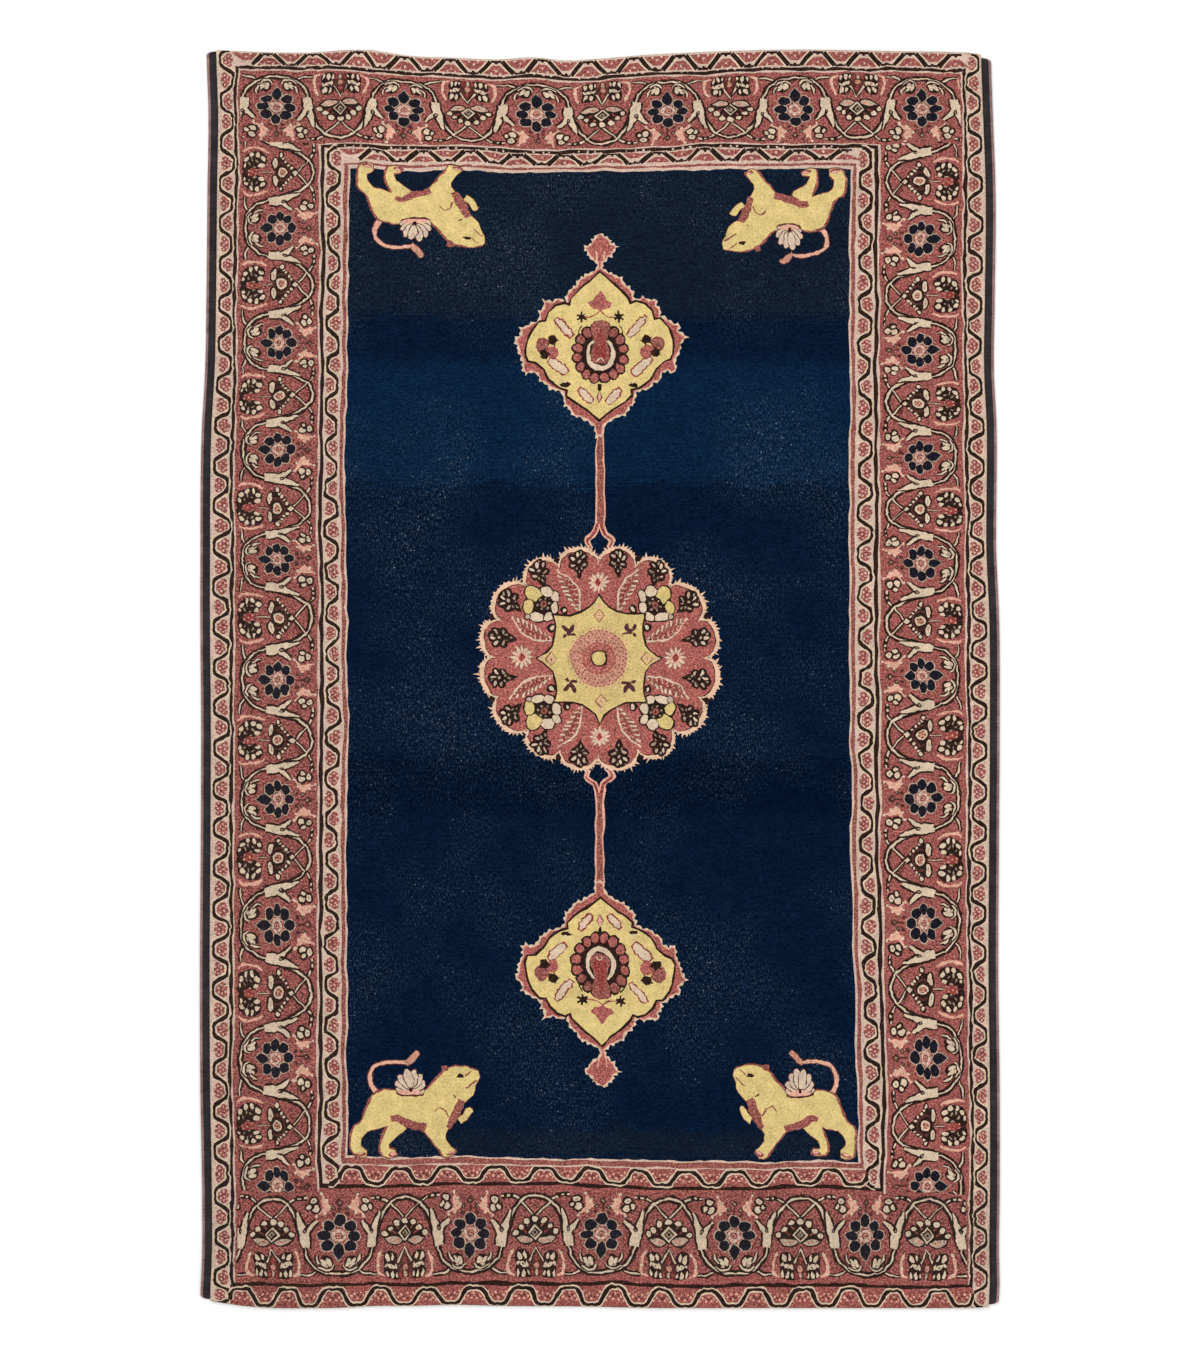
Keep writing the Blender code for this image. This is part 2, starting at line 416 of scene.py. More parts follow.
def side_spray():
    """Right half of the ring of pale seeds between two arches of a long side."""
    chart = Chart()
    chart.blob([(0, 88), (3, 72), (7, 63.5), (13, 60.5), (20, 64), (22.4, 71.5), (21.4, 79), (17, 87),
                (8, 89.2)], "ink", 5)
    seeds = ((7.4, 67.0, 2.2, 3.3, 10), (14.0, 65.4, 2.5, 3.4, -30), (18.6, 71.4, 3.2, 2.2, 15),
             (18.2, 78.4, 2.9, 2.0, -10), (13.4, 84.2, 3.2, 2.2, -45), (7.6, 86.4, 2.2, 1.5, 0))
    chart.ovals(seeds, 10, "cream")
    chart.ovals(((11.8, 72.6, 0.9, 2.2, -40), (13.2, 77.6, 0.9, 2.2, -80), (8.6, 80.6, 0.9, 2.2, -60),
                 (5.2, 75.0, 0.9, 2.2, 0)), 7, "moss")
    chart.stroke([(21.6, 60.0), (24.8, 66), (26.4, 75), (26.0, 83), (23.0, 88.0)],
                 (1.6, 3.2, 2.2, 3.2, 2.0), "blush")
    return chart


def side_palmette_unit():
    """The long sides' palmette: an eye in a dark crescent with a beaded edge."""
    chart = Chart()
    chart.both_sides(side_spray())
    chart.fill(oval((0, 76), 4.6, 7.0, steps=14), "madder")
    chart.dots(((-2.2, 72), (2.2, 72), (0, 77), (-2.0, 81.5), (2.0, 81.5)), 1.1, "dusty")
    chart.line([(0, 52), (0, 66)], 1.1, "ash", 1.1, "wine")
    for sign in (-1, 1):
        chart.line([(14.2 * sign, 13.2), (0, 26.0)], 1.3, "cream", 1.6)
    for shift in (0, 3.2):
        chart.line([(4.6 + shift, 26.0), (12.6 + shift, 18.8)], 1.2, "wine")
    body = curve([(-15.4, 47.5), (-13.4, 39.5), (-7.5, 33.0), (0, 29.5), (7.5, 33.0), (13.4, 39.5),
                  (15.4, 47.5), (7, 50.5), (-7, 50.5)], closed=True)
    chart.fill(grown(body, 1.8), "ink")
    chart.fill(oval((0, 43), 12.0, 9.6, steps=22), "wine")
    chart.fill(oval((0, 43), 9.4, 7.8, steps=18), "ink")
    for sign in (-1, 1):
        beads = [(sign * 17.6 * share, 28.0 + 15.4 * share**1.15) for share in (0.12, 0.32, 0.52, 0.72, 0.9)]
        chart.dots(beads, 1.5, "cream")
        chart.outlined(oval((19.6 * sign, 43.6), 2.4, 2.0, steps=9), "cream", 1.6)
        chart.outlined(oval((10.4 * sign, 51.6), 6.4, 2.6, -6 * sign, 14), "cream", 1.8)
        chart.fill(oval((9.4 * sign, 51.6), 3.0, 1.2, -6 * sign, 8), "ash")
    chart.outlined(lozenge(3.0, 3.4, (0, 28.0)), "cream", 1.7)
    chart.dot((0, 43.0), 5.8, "cream", 1.0)
    chart.dot((0, 43.0), 4.2, "dusty")
    chart.dots([around(2.8, turn, (0, 43.0)) for turn in range(0, 360, 72)], 0.9, "wine")
    chart.dot((0, 43.0), 1.2, "brick")
    return chart


def spray():
    """Right half of the flower spray between two arches."""
    chart = Chart()
    chart.blob([(4, 88.6), (5, 74), (8, 64.5), (13, 61.5), (19.6, 62.5), (20.8, 70), (19.4, 76), (20.6, 82),
                (17, 88.6)], "ink", 5)
    leaves = (((15.0, 71.6), (18.0, 63.6), 4.4), ((10.6, 70.6), (11.8, 63.4), 3.0),
              ((12.6, 88.4), (12.2, 81.0), 3.4), ((8.0, 79.6), (9.2, 73.4), 2.4),
              ((7.6, 87.6), (8.4, 82.4), 2.2), ((17.0, 87.6), (18.0, 80.4), 2.6),
              ((18.6, 76.8), (16.2, 72.6), 2.4))
    for root, tip, width in leaves:
        chart.fill(leaf(root, tip, width, 0.5, 0.5), "cream")
    chart.fill(oval((12.8, 76.4), 3.9, 2.3, -30, 10), "cream")
    chart.dot((12.6, 76.6), 0.9, "ink")
    bracket = curve([(22.6, 61.6), (26.2, 70), (27.2, 79), (26.0, 84.8), (20.4, 87.0)])
    chart.line(bracket, tapered(bracket, (1.4, 3.0, 2.4, 3.4, 2.0)), "blush")
    chart.dots([bracket[int(share * (len(bracket) - 1))] for share in (0.15, 0.5, 0.85)], 1.5, "cream")
    return chart


def palmette_unit():
    """The palmette and spray between two arches. X along the border, Y outwards from 0."""
    chart = Chart()
    chart.both_sides(spray())
    chart.fill([(-6.6, 88.6), (-7.4, 74), (0, 57.5), (7.4, 74), (6.6, 88.6)], "wine")
    chart.line([(-6.6, 73.0), (0, 58.8), (6.6, 73.0)], 1.7, "cream", 1.4)
    chart.fill(lozenge(2.6, 3.8, (0, 70.6)), "madder")
    for x, dye in ((-4.2, "madder"), (0, "ash"), (4.2, "madder")):
        chart.fill(oval((x, 85.0), 1.5, 3.2, steps=8), dye)
    chart.fill(oval((0, 78.0), 2.6, 3.2, steps=9), "dusty")
    for sign in (-1, 1):
        chart.line([(14.2 * sign, 13.2), (0, 28.0)], 1.3, "cream", 1.5)
    chart.blob([(-20, 46.5), (-15.5, 38.0), (-8.5, 32.0), (0, 30.5), (8.5, 32.0), (15.5, 38.0), (20, 46.5),
                (9, 50), (-9, 50)], "ink")
    chart.dot((0, 31.0), 3.2, "cream", 1.6)
    for x, y, radius in ((8.7, 32.6, 3.0), (14.6, 38.8, 2.7), (20.2, 44.0, 2.8)):
        for sign in (-1, 1):
            chart.dot((sign * x, y), radius, "cream", 1.6)
    for sign in (-1, 1):
        wing = curve([(2.6 * sign, 52.2), (8 * sign, 48.6), (15 * sign, 47.8), (19.4 * sign, 49.4),
                      (15.5 * sign, 53.6), (8.5 * sign, 55.6)], closed=True, step=4)
        chart.outlined(wing, "ash", 1.7)
        chart.fill(oval((8.2 * sign, 51.6), 3.0, 1.5, steps=8), "dusty")
        chart.line([(9.2 * sign, 44.6), (13.6 * sign, 41.0)], 1.5, "madder")
        chart.line([(6.2 * sign, 38.8), (8.4 * sign, 36.4)], 1.4, "brick")
    chart.outlined(lozenge(7.2, 8.4, (0, 44.2)), "cream", 1.6)
    chart.fill(lozenge(5.2, 6.2, (0, 44.2)), "ink")
    chart.fill(lozenge(3.2, 3.9, (0, 44.2)), "moss")
    chart.dot((0, 44.2), 1.3, "ink")
    return chart


# Places of the palmettes and rosettes in turn along each border, in knots from the
# rug's middle: on the sides downwards, on the ends to the right
SIDE_PLACES = {
    "left": (564, 507, 451, 394, 336.5, 283, 230, 171, 121, 61, -1, -61, -121, -178, -246, -315,
             -378.5, -447, -507, -570),
    "right": (555, 497, 441, 383, 329, 276, 222, 169, 116, 58, 3, -56, -119, -181, -244, -310,
              -379, -448, -507, -570),
}
END_PLACES = {
    "far": (-387, -322.7, -259.7, -195.7, -131.7, -62.7, 2.3, 68.3, 130.3, 195.3, 258.3, 321.3, 385),
    "near": (-391, -326.7, -260.7, -194.7, -129.7, -64.2, 2.3, 68.7, 135.2, 200.3, 266.3, 327.3, 391),
}


def border_strip(chart, places, units, first_rosette, place):
    """A border's rosettes, then its palmettes. place sends (along, outwards) to the chart."""
    steps = np.arange(len(places)) * UNIT / 2
    slopes = np.diff(places) / (UNIT / 2)

    def on_rug(outline, middle):
        """A unit's outline at its place along the border."""
        along = middle + outline[:, 0]
        before = np.minimum(along - steps[0], 0) * slopes[0]
        after = np.maximum(along - steps[-1], 0) * slopes[-1]
        return place(np.interp(along, steps, places) + before + after, outline[:, 1] / BAND)

    for unit, first in zip(units, (first_rosette, 1 - first_rosette)):
        for middle in steps[first::2]:
            chart.add(unit, lambda outline, middle=middle: on_rug(outline, middle))


# == Guards ==

def fitted(length, pitch):
    """The pitch that goes into a length a whole number of times."""
    return length / max(1, round(length / pitch))


def bays(length, pitch):
    """The middle of each bay along a guard, and 1 or -1 for the side its mouth is on."""
    for index in range(round(length / pitch)):
        yield (index + 0.25) * pitch, 1
        yield (index + 0.75) * pitch, -1


def in_bay(places, centre, level, mouth):
    """Places in a bay, given as (along, towards the mouth), sent to the guard."""
    return [(centre + along, level + across * mouth) for along, across in places]


def winding_line(chart, length, pitch, low, high):
    """A dark line with pale edges that winds along a guard between two levels."""
    waves = []
    for index in range(-1, round(length / pitch) + 1):
        for middle, level, mouth in ((0.25, low, 1), (0.75, high, -1)):
            place = (index + middle) * pitch
            flat = 0.16 * pitch
            waves += [(place - flat, level), (place, level - 0.8 * mouth), (place + flat, level)]
    path = curve(waves, step=3.4)
    path = path[(path[:, 0] > -3) & (path[:, 0] < length + 3)]
    path[:, 0] = np.clip(path[:, 0], 0, length)
    steep = np.clip(np.abs(np.gradient(path[:, 1])) / 2.0, 0, 1)
    chart.line(path, 5.6 + 0.8 * steep, "cream")
    chart.line(path, 2.6 + 1.2 * steep, "ink")


def side_guard(length, width, pitch):
    """A side guard: a dark line winding between rose flowers on a pale ground.

    X runs along the guard from 0 to length, Y across it from 0 to width.
    """
    chart = Chart()
    chart.fill(rectangle(0, 0, length, width), "shell")
    pitch = fitted(length, pitch)
    for centre, mouth in bays(length, pitch):
        bay = (centre, 0.57 * width + 1.4 * mouth, mouth)
        for along, across, radius in ((-3.7, 1.0, 3.9), (3.7, 1.0, 3.9), (0, -2.0, 4.6), (0, 2.4, 3.4)):
            chart.fill(oval(*in_bay([(along, across)], *bay), radius, steps=9), "rose")
        pale = ((-4.4, 0.6), (4.6, 0.8), (-1.8, -2.6), (2.2, -2.4), (0.2, 1.2), (-2.8, 3.8), (3.0, 3.6))
        chart.dots(in_bay(pale, *bay), 0.95, "shell")
        chart.dots(in_bay(((-1.9, 0.2), (2.2, 0.4)), *bay), 0.95, "madder")
    winding_line(chart, length, pitch, 0.25 * width, 0.86 * width)
    return chart


def near_guard(length, width, pitch):
    """A near end's guard: a dark line with pale edges winding on a speckled rose ground."""
    chart = Chart()
    chart.fill(rectangle(0, 0, length, width), "rose")
    pitch = fitted(length, pitch)
    for centre, mouth in bays(length, pitch):
        bay = (centre, 0.5 * width, mouth)
        pale = ((-5.4, 0.2), (5.8, 0.6), (0.4, -2.2), (-2.2, 2.6), (3.0, 3.0), (8.6, 3.8), (-8.8, 3.6))
        chart.dots(in_bay(pale, *bay), 1.1, "blush")
        chart.dots(in_bay(((-2.6, -0.8), (2.8, -0.6), (0.2, 1.0)), *bay), 1.0, "wine")
    winding_line(chart, length, pitch, 0.17 * width, 0.85 * width)
    return chart


def far_guard(length, width, pitch):
    """A far end's guard: thick slanting strokes with pale edges between rose bays."""
    chart = Chart()
    chart.fill(rectangle(0, 0, length, width), "shell")
    pitch = fitted(length, pitch)
    low, high = 0.13 * width, 0.87 * width
    narrow, wide = 0.10 * pitch, 0.34 * pitch
    for centre, mouth in bays(length, pitch):
        if mouth > 0:
            near, far, below, above = low + 1.6, width, narrow, wide
        else:
            near, far, below, above = 0.0, high - 1.6, wide, narrow
        bay = np.array([(-below, near + 1), (below, near + 1), (above, far - 1), (-above, far - 1)])
        chart.fill(moved(grown(bay, -1.6), (centre, 0)), "rose")
        pale = ((-4.4, 3.6), (4.8, 4.0), (0.4, 1.0), (8.2, 6.2), (-8.4, 6.2), (1.2, 6.0))
        chart.dots(in_bay(pale, centre, (near + far) / 2, mouth), 1.15, "shell")
    for index in range(-1, round(length / pitch) + 1):
        for start, stop, a, b in ((0.25, 0.75, low, high), (0.75, 1.25, high, low)):
            slant = np.array([(index + start + 0.13, a), (index + stop - 0.13, b)]) * (pitch, 1)
            flat = np.array([(index + stop - 0.12, b), (index + stop + 0.12, b)]) * (pitch, 1)
            if slant[0, 0] < 0 or flat[1, 0] > length:
                continue
            chart.line(slant, 7.2, "cream")
            chart.line(slant, 4.4, "ink")
            chart.line(flat, 2.2, "ink")
            chart.dot(flat.mean(axis=0) + (0, 0.8 * (1 if b == low else -1)), 1.9, "ink")
    return chart


def guard_frame(chart, outer, inner, side_pitch, end_pitch):
    """A guard's four runs. The long ones go from end to end, with the short ones between."""
    half, far, near = outer
    inner_half, inner_far, inner_near = inner
    side = side_guard(far - near, half - inner_half, side_pitch)
    for sign in (-1, 1):
        chart.add(side, lambda p, sign=sign: np.column_stack((sign * (half - p[:, 1]), far - p[:, 0])))
    for sign, edge, start, guard in ((1, far, inner_far, far_guard), (-1, near, inner_near, near_guard)):
        run = guard(2 * inner_half, abs(edge - start), end_pitch)
        chart.add(run, lambda p, start=start, sign=sign: p * (1, sign) + (-inner_half, start))


def ring_of(chart, outer, inner, dye):
    """The band between two nested rectangles."""
    (a, far, near), (b, inner_far, inner_near) = outer, inner
    for sides in ((-a, near, -b, far), (b, near, a, far), (-a, inner_far, a, far), (-a, near, a, inner_near)):
        chart.fill(rectangle(*sides), dye)


# == Medallion ==

def lobe_flower():
    """A dark flower with pale petals, its tail towards the medallion's middle."""
    chart = Chart()
    petals = ((0.8, 6.8, 1.4, 2.8, 12, "cream"), (-5.6, 4.6, 1.3, 3.0, 50, "ash"),
              (6.0, 3.8, 1.3, 2.9, -52, "cream"), (-5.8, -2.6, 1.1, 2.6, 80, "moss"),
              (5.8, -3.0, 1.2, 2.5, -70, "ash"), (-2.6, 8.6, 1.0, 1.8, 30, "moss"))
    chart.fill(leaf((0, 2), (0.8, -17.5), 12.5, 0.3, 0.9), "ink")
    chart.ovals(petals, 9, "ink", wider=3.2, longer=2.2)
    chart.fill(oval((0, 0), 6.8, steps=9), "ink")
    chart.ovals(petals, 9)
    chart.dot((0.2, 0.8), 1.5, "ash")
    seeds = ((-2.6, -5.4, 0.9, 1.5, -20.8), (2.6, -6.0, 0.9, 1.6, 20.8), (-0.2, -9.4, 0.9, 1.8, -1.6))
    chart.ovals(seeds, 6, "moss")
    return chart


def sunburst(radius):
    """A small spiky flower in pale wool."""
    chart = Chart()
    ray = moved(petal(radius * 0.58, 3.0, belly=0.4, tip=0.5), (0, radius * 0.42))
    for turn in range(0, 360, 30):
        chart.fill(moved(ray, turn=turn), "cream")
    chart.dot((0, 0), radius * 0.47, "blush")
    chart.fill(lozenge(radius * 0.3, radius * 0.42), "madder")
    return chart


def feather():
    """The curved leaf left of the medallion's upper tip."""
    chart = Chart()
    back = curve([(-39, 87), (-27.5, 79.5), (-19.6, 66), (-18.2, 46.5)])
    front = curve([(-39, 87), (-37.0, 74), (-30.0, 60), (-18.2, 46.5)])
    count = len(back)
    front = front[np.linspace(0, len(front) - 1, count).astype(int)]
    spine = 0.6 * back + 0.4 * front
    chart.fill(np.vstack((back, front[::-1][1:-1])), "brick")
    chart.line(spine[1:-1], tapered(spine[1:-1], (0.8, 4.4, 1.0)), "madder")
    chart.dots(spine[2:-2:2], 0.9, "ash")
    chart.line(back, tapered(back, (1.0, 1.9, 1.4)), "cream")
    for share in np.linspace(0.06, 0.94, 9):
        place = share * (count - 1)
        root, tip, rear = (np.array([np.interp(place, np.arange(count), line[:, k]) for k in (0, 1)])
                           for line in (0.5 * spine + 0.5 * front, front, back))
        chart.line([root, tip + (-2.2, 2.2)], (1.4, 1.9), "cream")
        chart.line([0.5 * root + 0.5 * rear, rear], 1.0, "blush")
    return chart


def diagonal_flower():
    """The gold and pale flower between two lobes, right of and above the middle."""
    chart = Chart()
    petals = ((8.4, 9.6, 8.6, 7.0, 40, "straw"), (-4.6, 12.2, 6.0, 5.2, 8, "cream"),
              (-13.2, 7.0, 3.8, 5.2, 24, "cream"), (-13.0, -3.4, 3.9, 5.4, -6, "cream"),
              (13.6, -3.6, 5.0, 6.6, 12, "straw"), (5.4, -13.0, 8.0, 4.0, 12, "cream"),
              (-7.0, -12.4, 5.4, 4.0, -26, "cream"), (13.8, -12.6, 2.6, 2.4, 0, "ash"))
    chart.fill(oval((0, 0), 17.0, 16.0, steps=24), "ink")
    chart.ovals(petals, 14, "ink", wider=1.4, longer=1.4)
    chart.ovals(petals, 14, rim=0.8)
    chart.fill(oval((-0.6, -0.4), 7.8, steps=14), "ink")
    for turn in range(20, 380, 60):
        chart.fill(oval(around(5.6, turn, (-1.0, -0.6)), 1.2, steps=7), "moss")
    chart.rings((-1.0, -0.6), (3.6, "brick"), (1.5, "wine"))
    return chart


def medallion_outline():
    """Sixteen round lobes between notches, worked out from one quarter."""
    notches = ((0, 97.5), (39.7, 94), (71.5, 70.5), (102.5, 39), (107.5, 0))
    rises = (16.6, 18.0, 18.6, 15.4)
    quarter = []
    for a, b, rise in zip(np.array(notches), np.array(notches[1:]), rises):
        run = b - a
        out = np.array((-run[1], run[0])) / np.linalg.norm(run)
        for angle in np.linspace(math.pi, 0, 17)[:-1]:
            along = (a + b) / 2 + run / 2 * math.cos(angle)
            quarter.append(tuple(along + out * rise * math.sin(angle) ** 0.85))
    return from_quarter(quarter + [notches[-1]])


def star_outline():
    """The gold star, from one quarter."""
    return from_quarter([(0, 63.5), (4, 55.5), (9.5, 50.5), (17, 46.6), (27, 43.4), (45, 43.6), (42.6, 34),
                         (43.6, 25), (46.6, 13.5), (52, 6.5), (61.5, 0)])


def medallion(rng):
    """The rose medallion with its gold star. The origin is its middle."""
    chart = Chart()
    outline = medallion_outline()
    out = normals(outline, True)
    out *= np.sign(np.sum(out * outline))
    for index, (root, outwards) in enumerate(zip(outline, out)):
        reach = rng.uniform(0.4, 5.6) * (1.0 if index % 2 else 0.6)
        sideways = np.array((-outwards[1], outwards[0]))
        tip = root + outwards * reach + rng.uniform(-1.6, 1.6) * sideways
        chart.fill([root - 1.2 * sideways, root + 1.2 * sideways, tip], "peach")
    for share, dye in ((1.0, "peach"), (0.964, "wine"), (0.955, "coral")):
        chart.fill(outline * share, dye)
    for x, y in ((41.5, 99.5), (107.5, 41)):
        chart.dots(((-x, -y), (-x, y), (x, -y), (x, y)), 3.2, "ink")
    flowers = Chart()
    for x, y, turn in ((20, 97.3, -4), (59.5, 86, -24), (90.2, 56.5, -52), (99.5, 20.5, -88)):
        flowers.add(lobe_flower(), lambda p, x=x, y=y, turn=turn: moved(p, (x, y), turn))
    flowers.add(diagonal_flower(), lambda p: p + (57, 54.5))
    chart.all_quarters(flowers)
    leaves = Chart()
    leaves.add(feather())
    leaves.add(feather(), lambda p: -p[:, ::-1][::-1])
    chart.all_quarters(leaves)
    for x, y, radius in ((0, 76.5, 11), (0.5, -77, 10.5), (-78.7, 1.2, 12.5), (76.8, 0.6, 12.5)):
        chart.add(sunburst(radius), lambda p, x=x, y=y: p + (x, y))
    bits = Chart()
    for x, y in ((33.5, 48.5), (48.5, 31)):
        bits.dot((x, y), 4.4, "ink")
        bits.fill(oval((x - 0.6, y + 0.4), 1.7, 2.6, 35, 8), "cream")
    chart.all_quarters(bits)
    chart.outlined(star_outline(), "straw", 1.9)
    chart.add(star_field())
    return chart


def star_field():
    """What lies on the gold star: curls, diamonds and the round middle."""
    chart = Chart()
    curls = Chart()
    curls.ovals(((26.3, 30.9, 2.4, 4.4, 20), (33.3, 30.5, 2.2, 4.2, -35), (29.5, 26.9, 2.6, 3.6, 0),
                 (25.3, 23.9, 3.6, 1.7, 10), (33.9, 23.3, 2.6, 1.8, -20)), 9, "plum")
    chart.all_quarters(curls)
    for turn, reach in ((0, 42.5), (180, 42.5), (90, 48.5), (270, 48.5)):
        middle = around(reach, turn)
        chart.fill(lozenge(6.6, 7.6, middle), "brick")
        chart.fill(lozenge(5.2, 6.2, middle), "straw")
        for side in (0, 90, 180, 270):
            chart.fill(oval(around(2.8, side, middle), 1.0, 1.9, side, 7), "blush")
        chart.dot(middle, 1.0, "brick")
        chart.fill(lozenge(1.6, 3.0, around(reach + 9.5, turn)), "blush")
    chart.fill(oval((0, 0), 28.6, steps=56), "dusty")
    specks = [(30.6, 46, 0.0, 1.0, "dusty"), (27.6, 40, 0.0, 1.0, "rose"), (24.6, 36, 0.5, 1.0, "brick"),
              (21.6, 30, 0.0, 1.0, "rose"), (18.6, 26, 0.5, 1.0, "brick"), (13.6, 20, 0.0, 0.9, "dusty")]
    for radius, count, shift, size, dye in specks:
        if radius == specks[-1][0]:
            chart.fill(oval((0, 0), 17.0, steps=36), "coral")
        for index in range(count):
            chart.fill(oval(around(radius, 360 * (index + shift) / count), size, steps=6), dye)
    square = curve([(-5.6, -5.6), (5.6, -5.6), (5.6, 5.6), (-5.6, 5.6)], closed=True, step=4)
    chart.outlined(square, "straw", 1.8)
    return chart


# == Pendants ==

# The right half of a pendant's serrated outer edge, from its tip down to its stem
PENDANT_EDGE = [
    (0, 124), (5.6, 118.4), (9.6, 115.6), (10.4, 111.2), (13.6, 110), (18.0, 106.2), (14.2, 102.2),
    (12.4, 97.2), (9.0, 96.0), (6.6, 92.6), (3.3, 90.4), (2.6, 85.6), (8.6, 80.6), (14.6, 79.2),
    (16.6, 76.6), (21.6, 75.8), (24.4, 68.4), (29.2, 65.2), (33.6, 59.6), (35.0, 52.4), (42.6, 55.8),
    (48.2, 53.0), (57.8, 54.2), (56.6, 46.6), (60.4, 42.8), (60.6, 35.6), (68.2, 32.4), (74.4, 28.4),
    (80.6, 27.0), (79.2, 20.4), (87.2, 13.4), (82.6, 8.6), (81.4, 0.0), (76.6, -8.4), (77.8, -17.8),
    (73.4, -21.8), (69.0, -18.6), (63.0, -21.4), (60.0, -28.6), (54.6, -31.0), (49.6, -36.0),
    (43.0, -37.6), (37.2, -40.4), (36.0, -47.4), (35.4, -53.0), (31.0, -55.0), (25.4, -63.4),
    (19.0, -64.4), (12.2, -68.4), (5.4, -73.0), (4.6, -84),
]
# The right half of its gold ground, from the tip down
PENDANT_GROUND = [
    (0, 80), (10, 70.4), (20.6, 62.0), (28.6, 53.6), (30.4, 47.8), (36.2, 50.4), (44.2, 48.2),
    (51.0, 41.0), (54.2, 32.2), (60.4, 32.0), (68.4, 23.6), (72.6, 12), (73.2, -1.4), (71.2, -7.4),
    (64.0, -8.8), (56.2, -16.2), (49.6, -26.8), (38.8, -35.2), (31.2, -37.0), (32.0, -42.4),
    (25.4, -48.8), (12.2, -56.8), (0, -66),
]


def toothed(outline, spacing=4.2, depth=1.0):
    """A closed outline with small teeth, as a slanting line is knotted."""
    p = split_edges(outline, spacing)
    p = p[np.r_[True, np.linalg.norm(np.diff(p, axis=0), axis=1) > 1.0]]
    return p + normals(p, True) * (depth * (-1.0) ** np.arange(len(p)))[:, None]


def pendant_medallion():
    """The dark rose flower in a pendant's middle, with a pale horseshoe round its core."""
    chart = Chart()
    count = 16
    turns = [360 * (index + 0.5) / count for index in range(count)]
    middles = [around(1, turn) * (24.0, 25.0) for turn in turns]
    for middle in middles:
        chart.fill(oval(middle, 6.3, steps=11), "ink")
    chart.fill(oval((0, 0), 21, 24, steps=30), "ink")
    for turn, middle in zip(turns, middles):
        chart.fill(oval(middle, 4.1, 4.8, turn, 10), "brick" if middle[1] > 5 else "coral")
    chart.fill(oval((0, -1), 16.6, 18.6, steps=26), "ink")
    chart.blob([(8.0, 30), (8.8, 21), (6.4, 12), (9.4, 0), (7.6, -8), (0, -11), (-7.6, -8),
                (-9.4, 0), (-6.4, 12), (-8.8, 21), (-8.0, 30), (0, 32)], "brick")
    chart.stroke([(6.6, 13.6), (11.2, 7.6), (12.6, 0), (10.2, -9), (5.6, -13.6), (0, -15), (-5.6, -13.6),
                  (-10.2, -9), (-12.6, 0), (-11.2, 7.6), (-6.6, 13.6)],
                 (2.2, 4.0, 4.6, 4.6, 4.0, 2.2), "cream")
    chart.blob([(0, 25), (4.2, 13), (6.2, 1), (4.2, -5.4), (0, -7.2), (-4.2, -5.4), (-6.2, 1),
                (-4.2, 13)], "madder")
    chart.stroke([(3.0, -8.2), (1.8, -5.4), (0, -4.8), (-1.8, -5.4), (-3.0, -8.2)], 1.2, "cream")
    return chart


def strip_leaf(start, stop, width):
    """A blunt pale leaf with a thin brown edge and notched ends."""
    chart = Chart()
    start, stop = np.array(start), np.array(stop)
    path = curve([start, (start + stop) / 2 + 0.8, stop], step=2.6)
    notches = 0.9 * (-1.0) ** np.arange(len(path))
    widths = tapered(path, np.array((0.5, 0.95, 0.85, 0.95, 0.6)) * width) + notches
    chart.line(path, widths, "madder")
    inner = path + np.linspace(1, -1, len(path))[:, None] * 1.3 * (stop - start) / math.dist(stop, start)
    chart.line(inner, widths - 2.9, "cream")
    chart.dots([start + share * (stop - start) for share in (0.28, 0.5, 0.72)], 0.8, "blush")
    return chart


def star_burst(chart, centre, turns, radius, width):
    """Short dark strokes out from a centre."""
    for turn in turns:
        chart.line([centre, around(radius, turn, centre)], width, "ink")


def pendant_flank():
    """The right half of what lies on a pendant's gold ground."""
    chart = Chart()
    chart.stroke([(0, 41), (5, 37.4), (11, 35.2), (17, 36)], 1.3, "madder")
    star_burst(chart, (18.8, 35.8), range(0, 360, 60), 5.6, 2.0)
    chart.dot((18.8, 35.8), 3.0, "ink")
    for start, stop, width in (((45.4, 36.6), (28.8, 16.6), 10.0), ((51.4, -5.4), (33.6, -21.4), 12.0),
                               ((21.4, -35.8), (8.0, -50.8), 10.4)):
        chart.add(strip_leaf(start, stop, width))
    chart.stroke([(19, 27), (22.4, 22), (23.0, 14)], 1.2, "ink")
    chart.line([(21.4, 19), (20.6, 12)], 1.5, "cream")
    for x, y, radius, dye in ((57.8, 9.0, 7.4, "brick"), (47.0, 1.6, 6.6, "coral"), (59.4, 4.4, 4.4, "brick"),
                              (46.6, 14.0, 4.9, "ink"), (55.6, -0.6, 4.9, "ink")):
        chart.dot((x, y), radius, dye)
    for centre in ((46.6, 13.4), (55.4, 0.4)):
        star_burst(chart, centre, range(15, 360, 72), 6.2, 1.4)
    chart.fill(moved(petal(10, 4.6, tip=0.6), (38.4, -33.4), 78), "ink")
    chart.fill(oval((34, -29.5), 1.6, steps=6), "cream")
    return chart


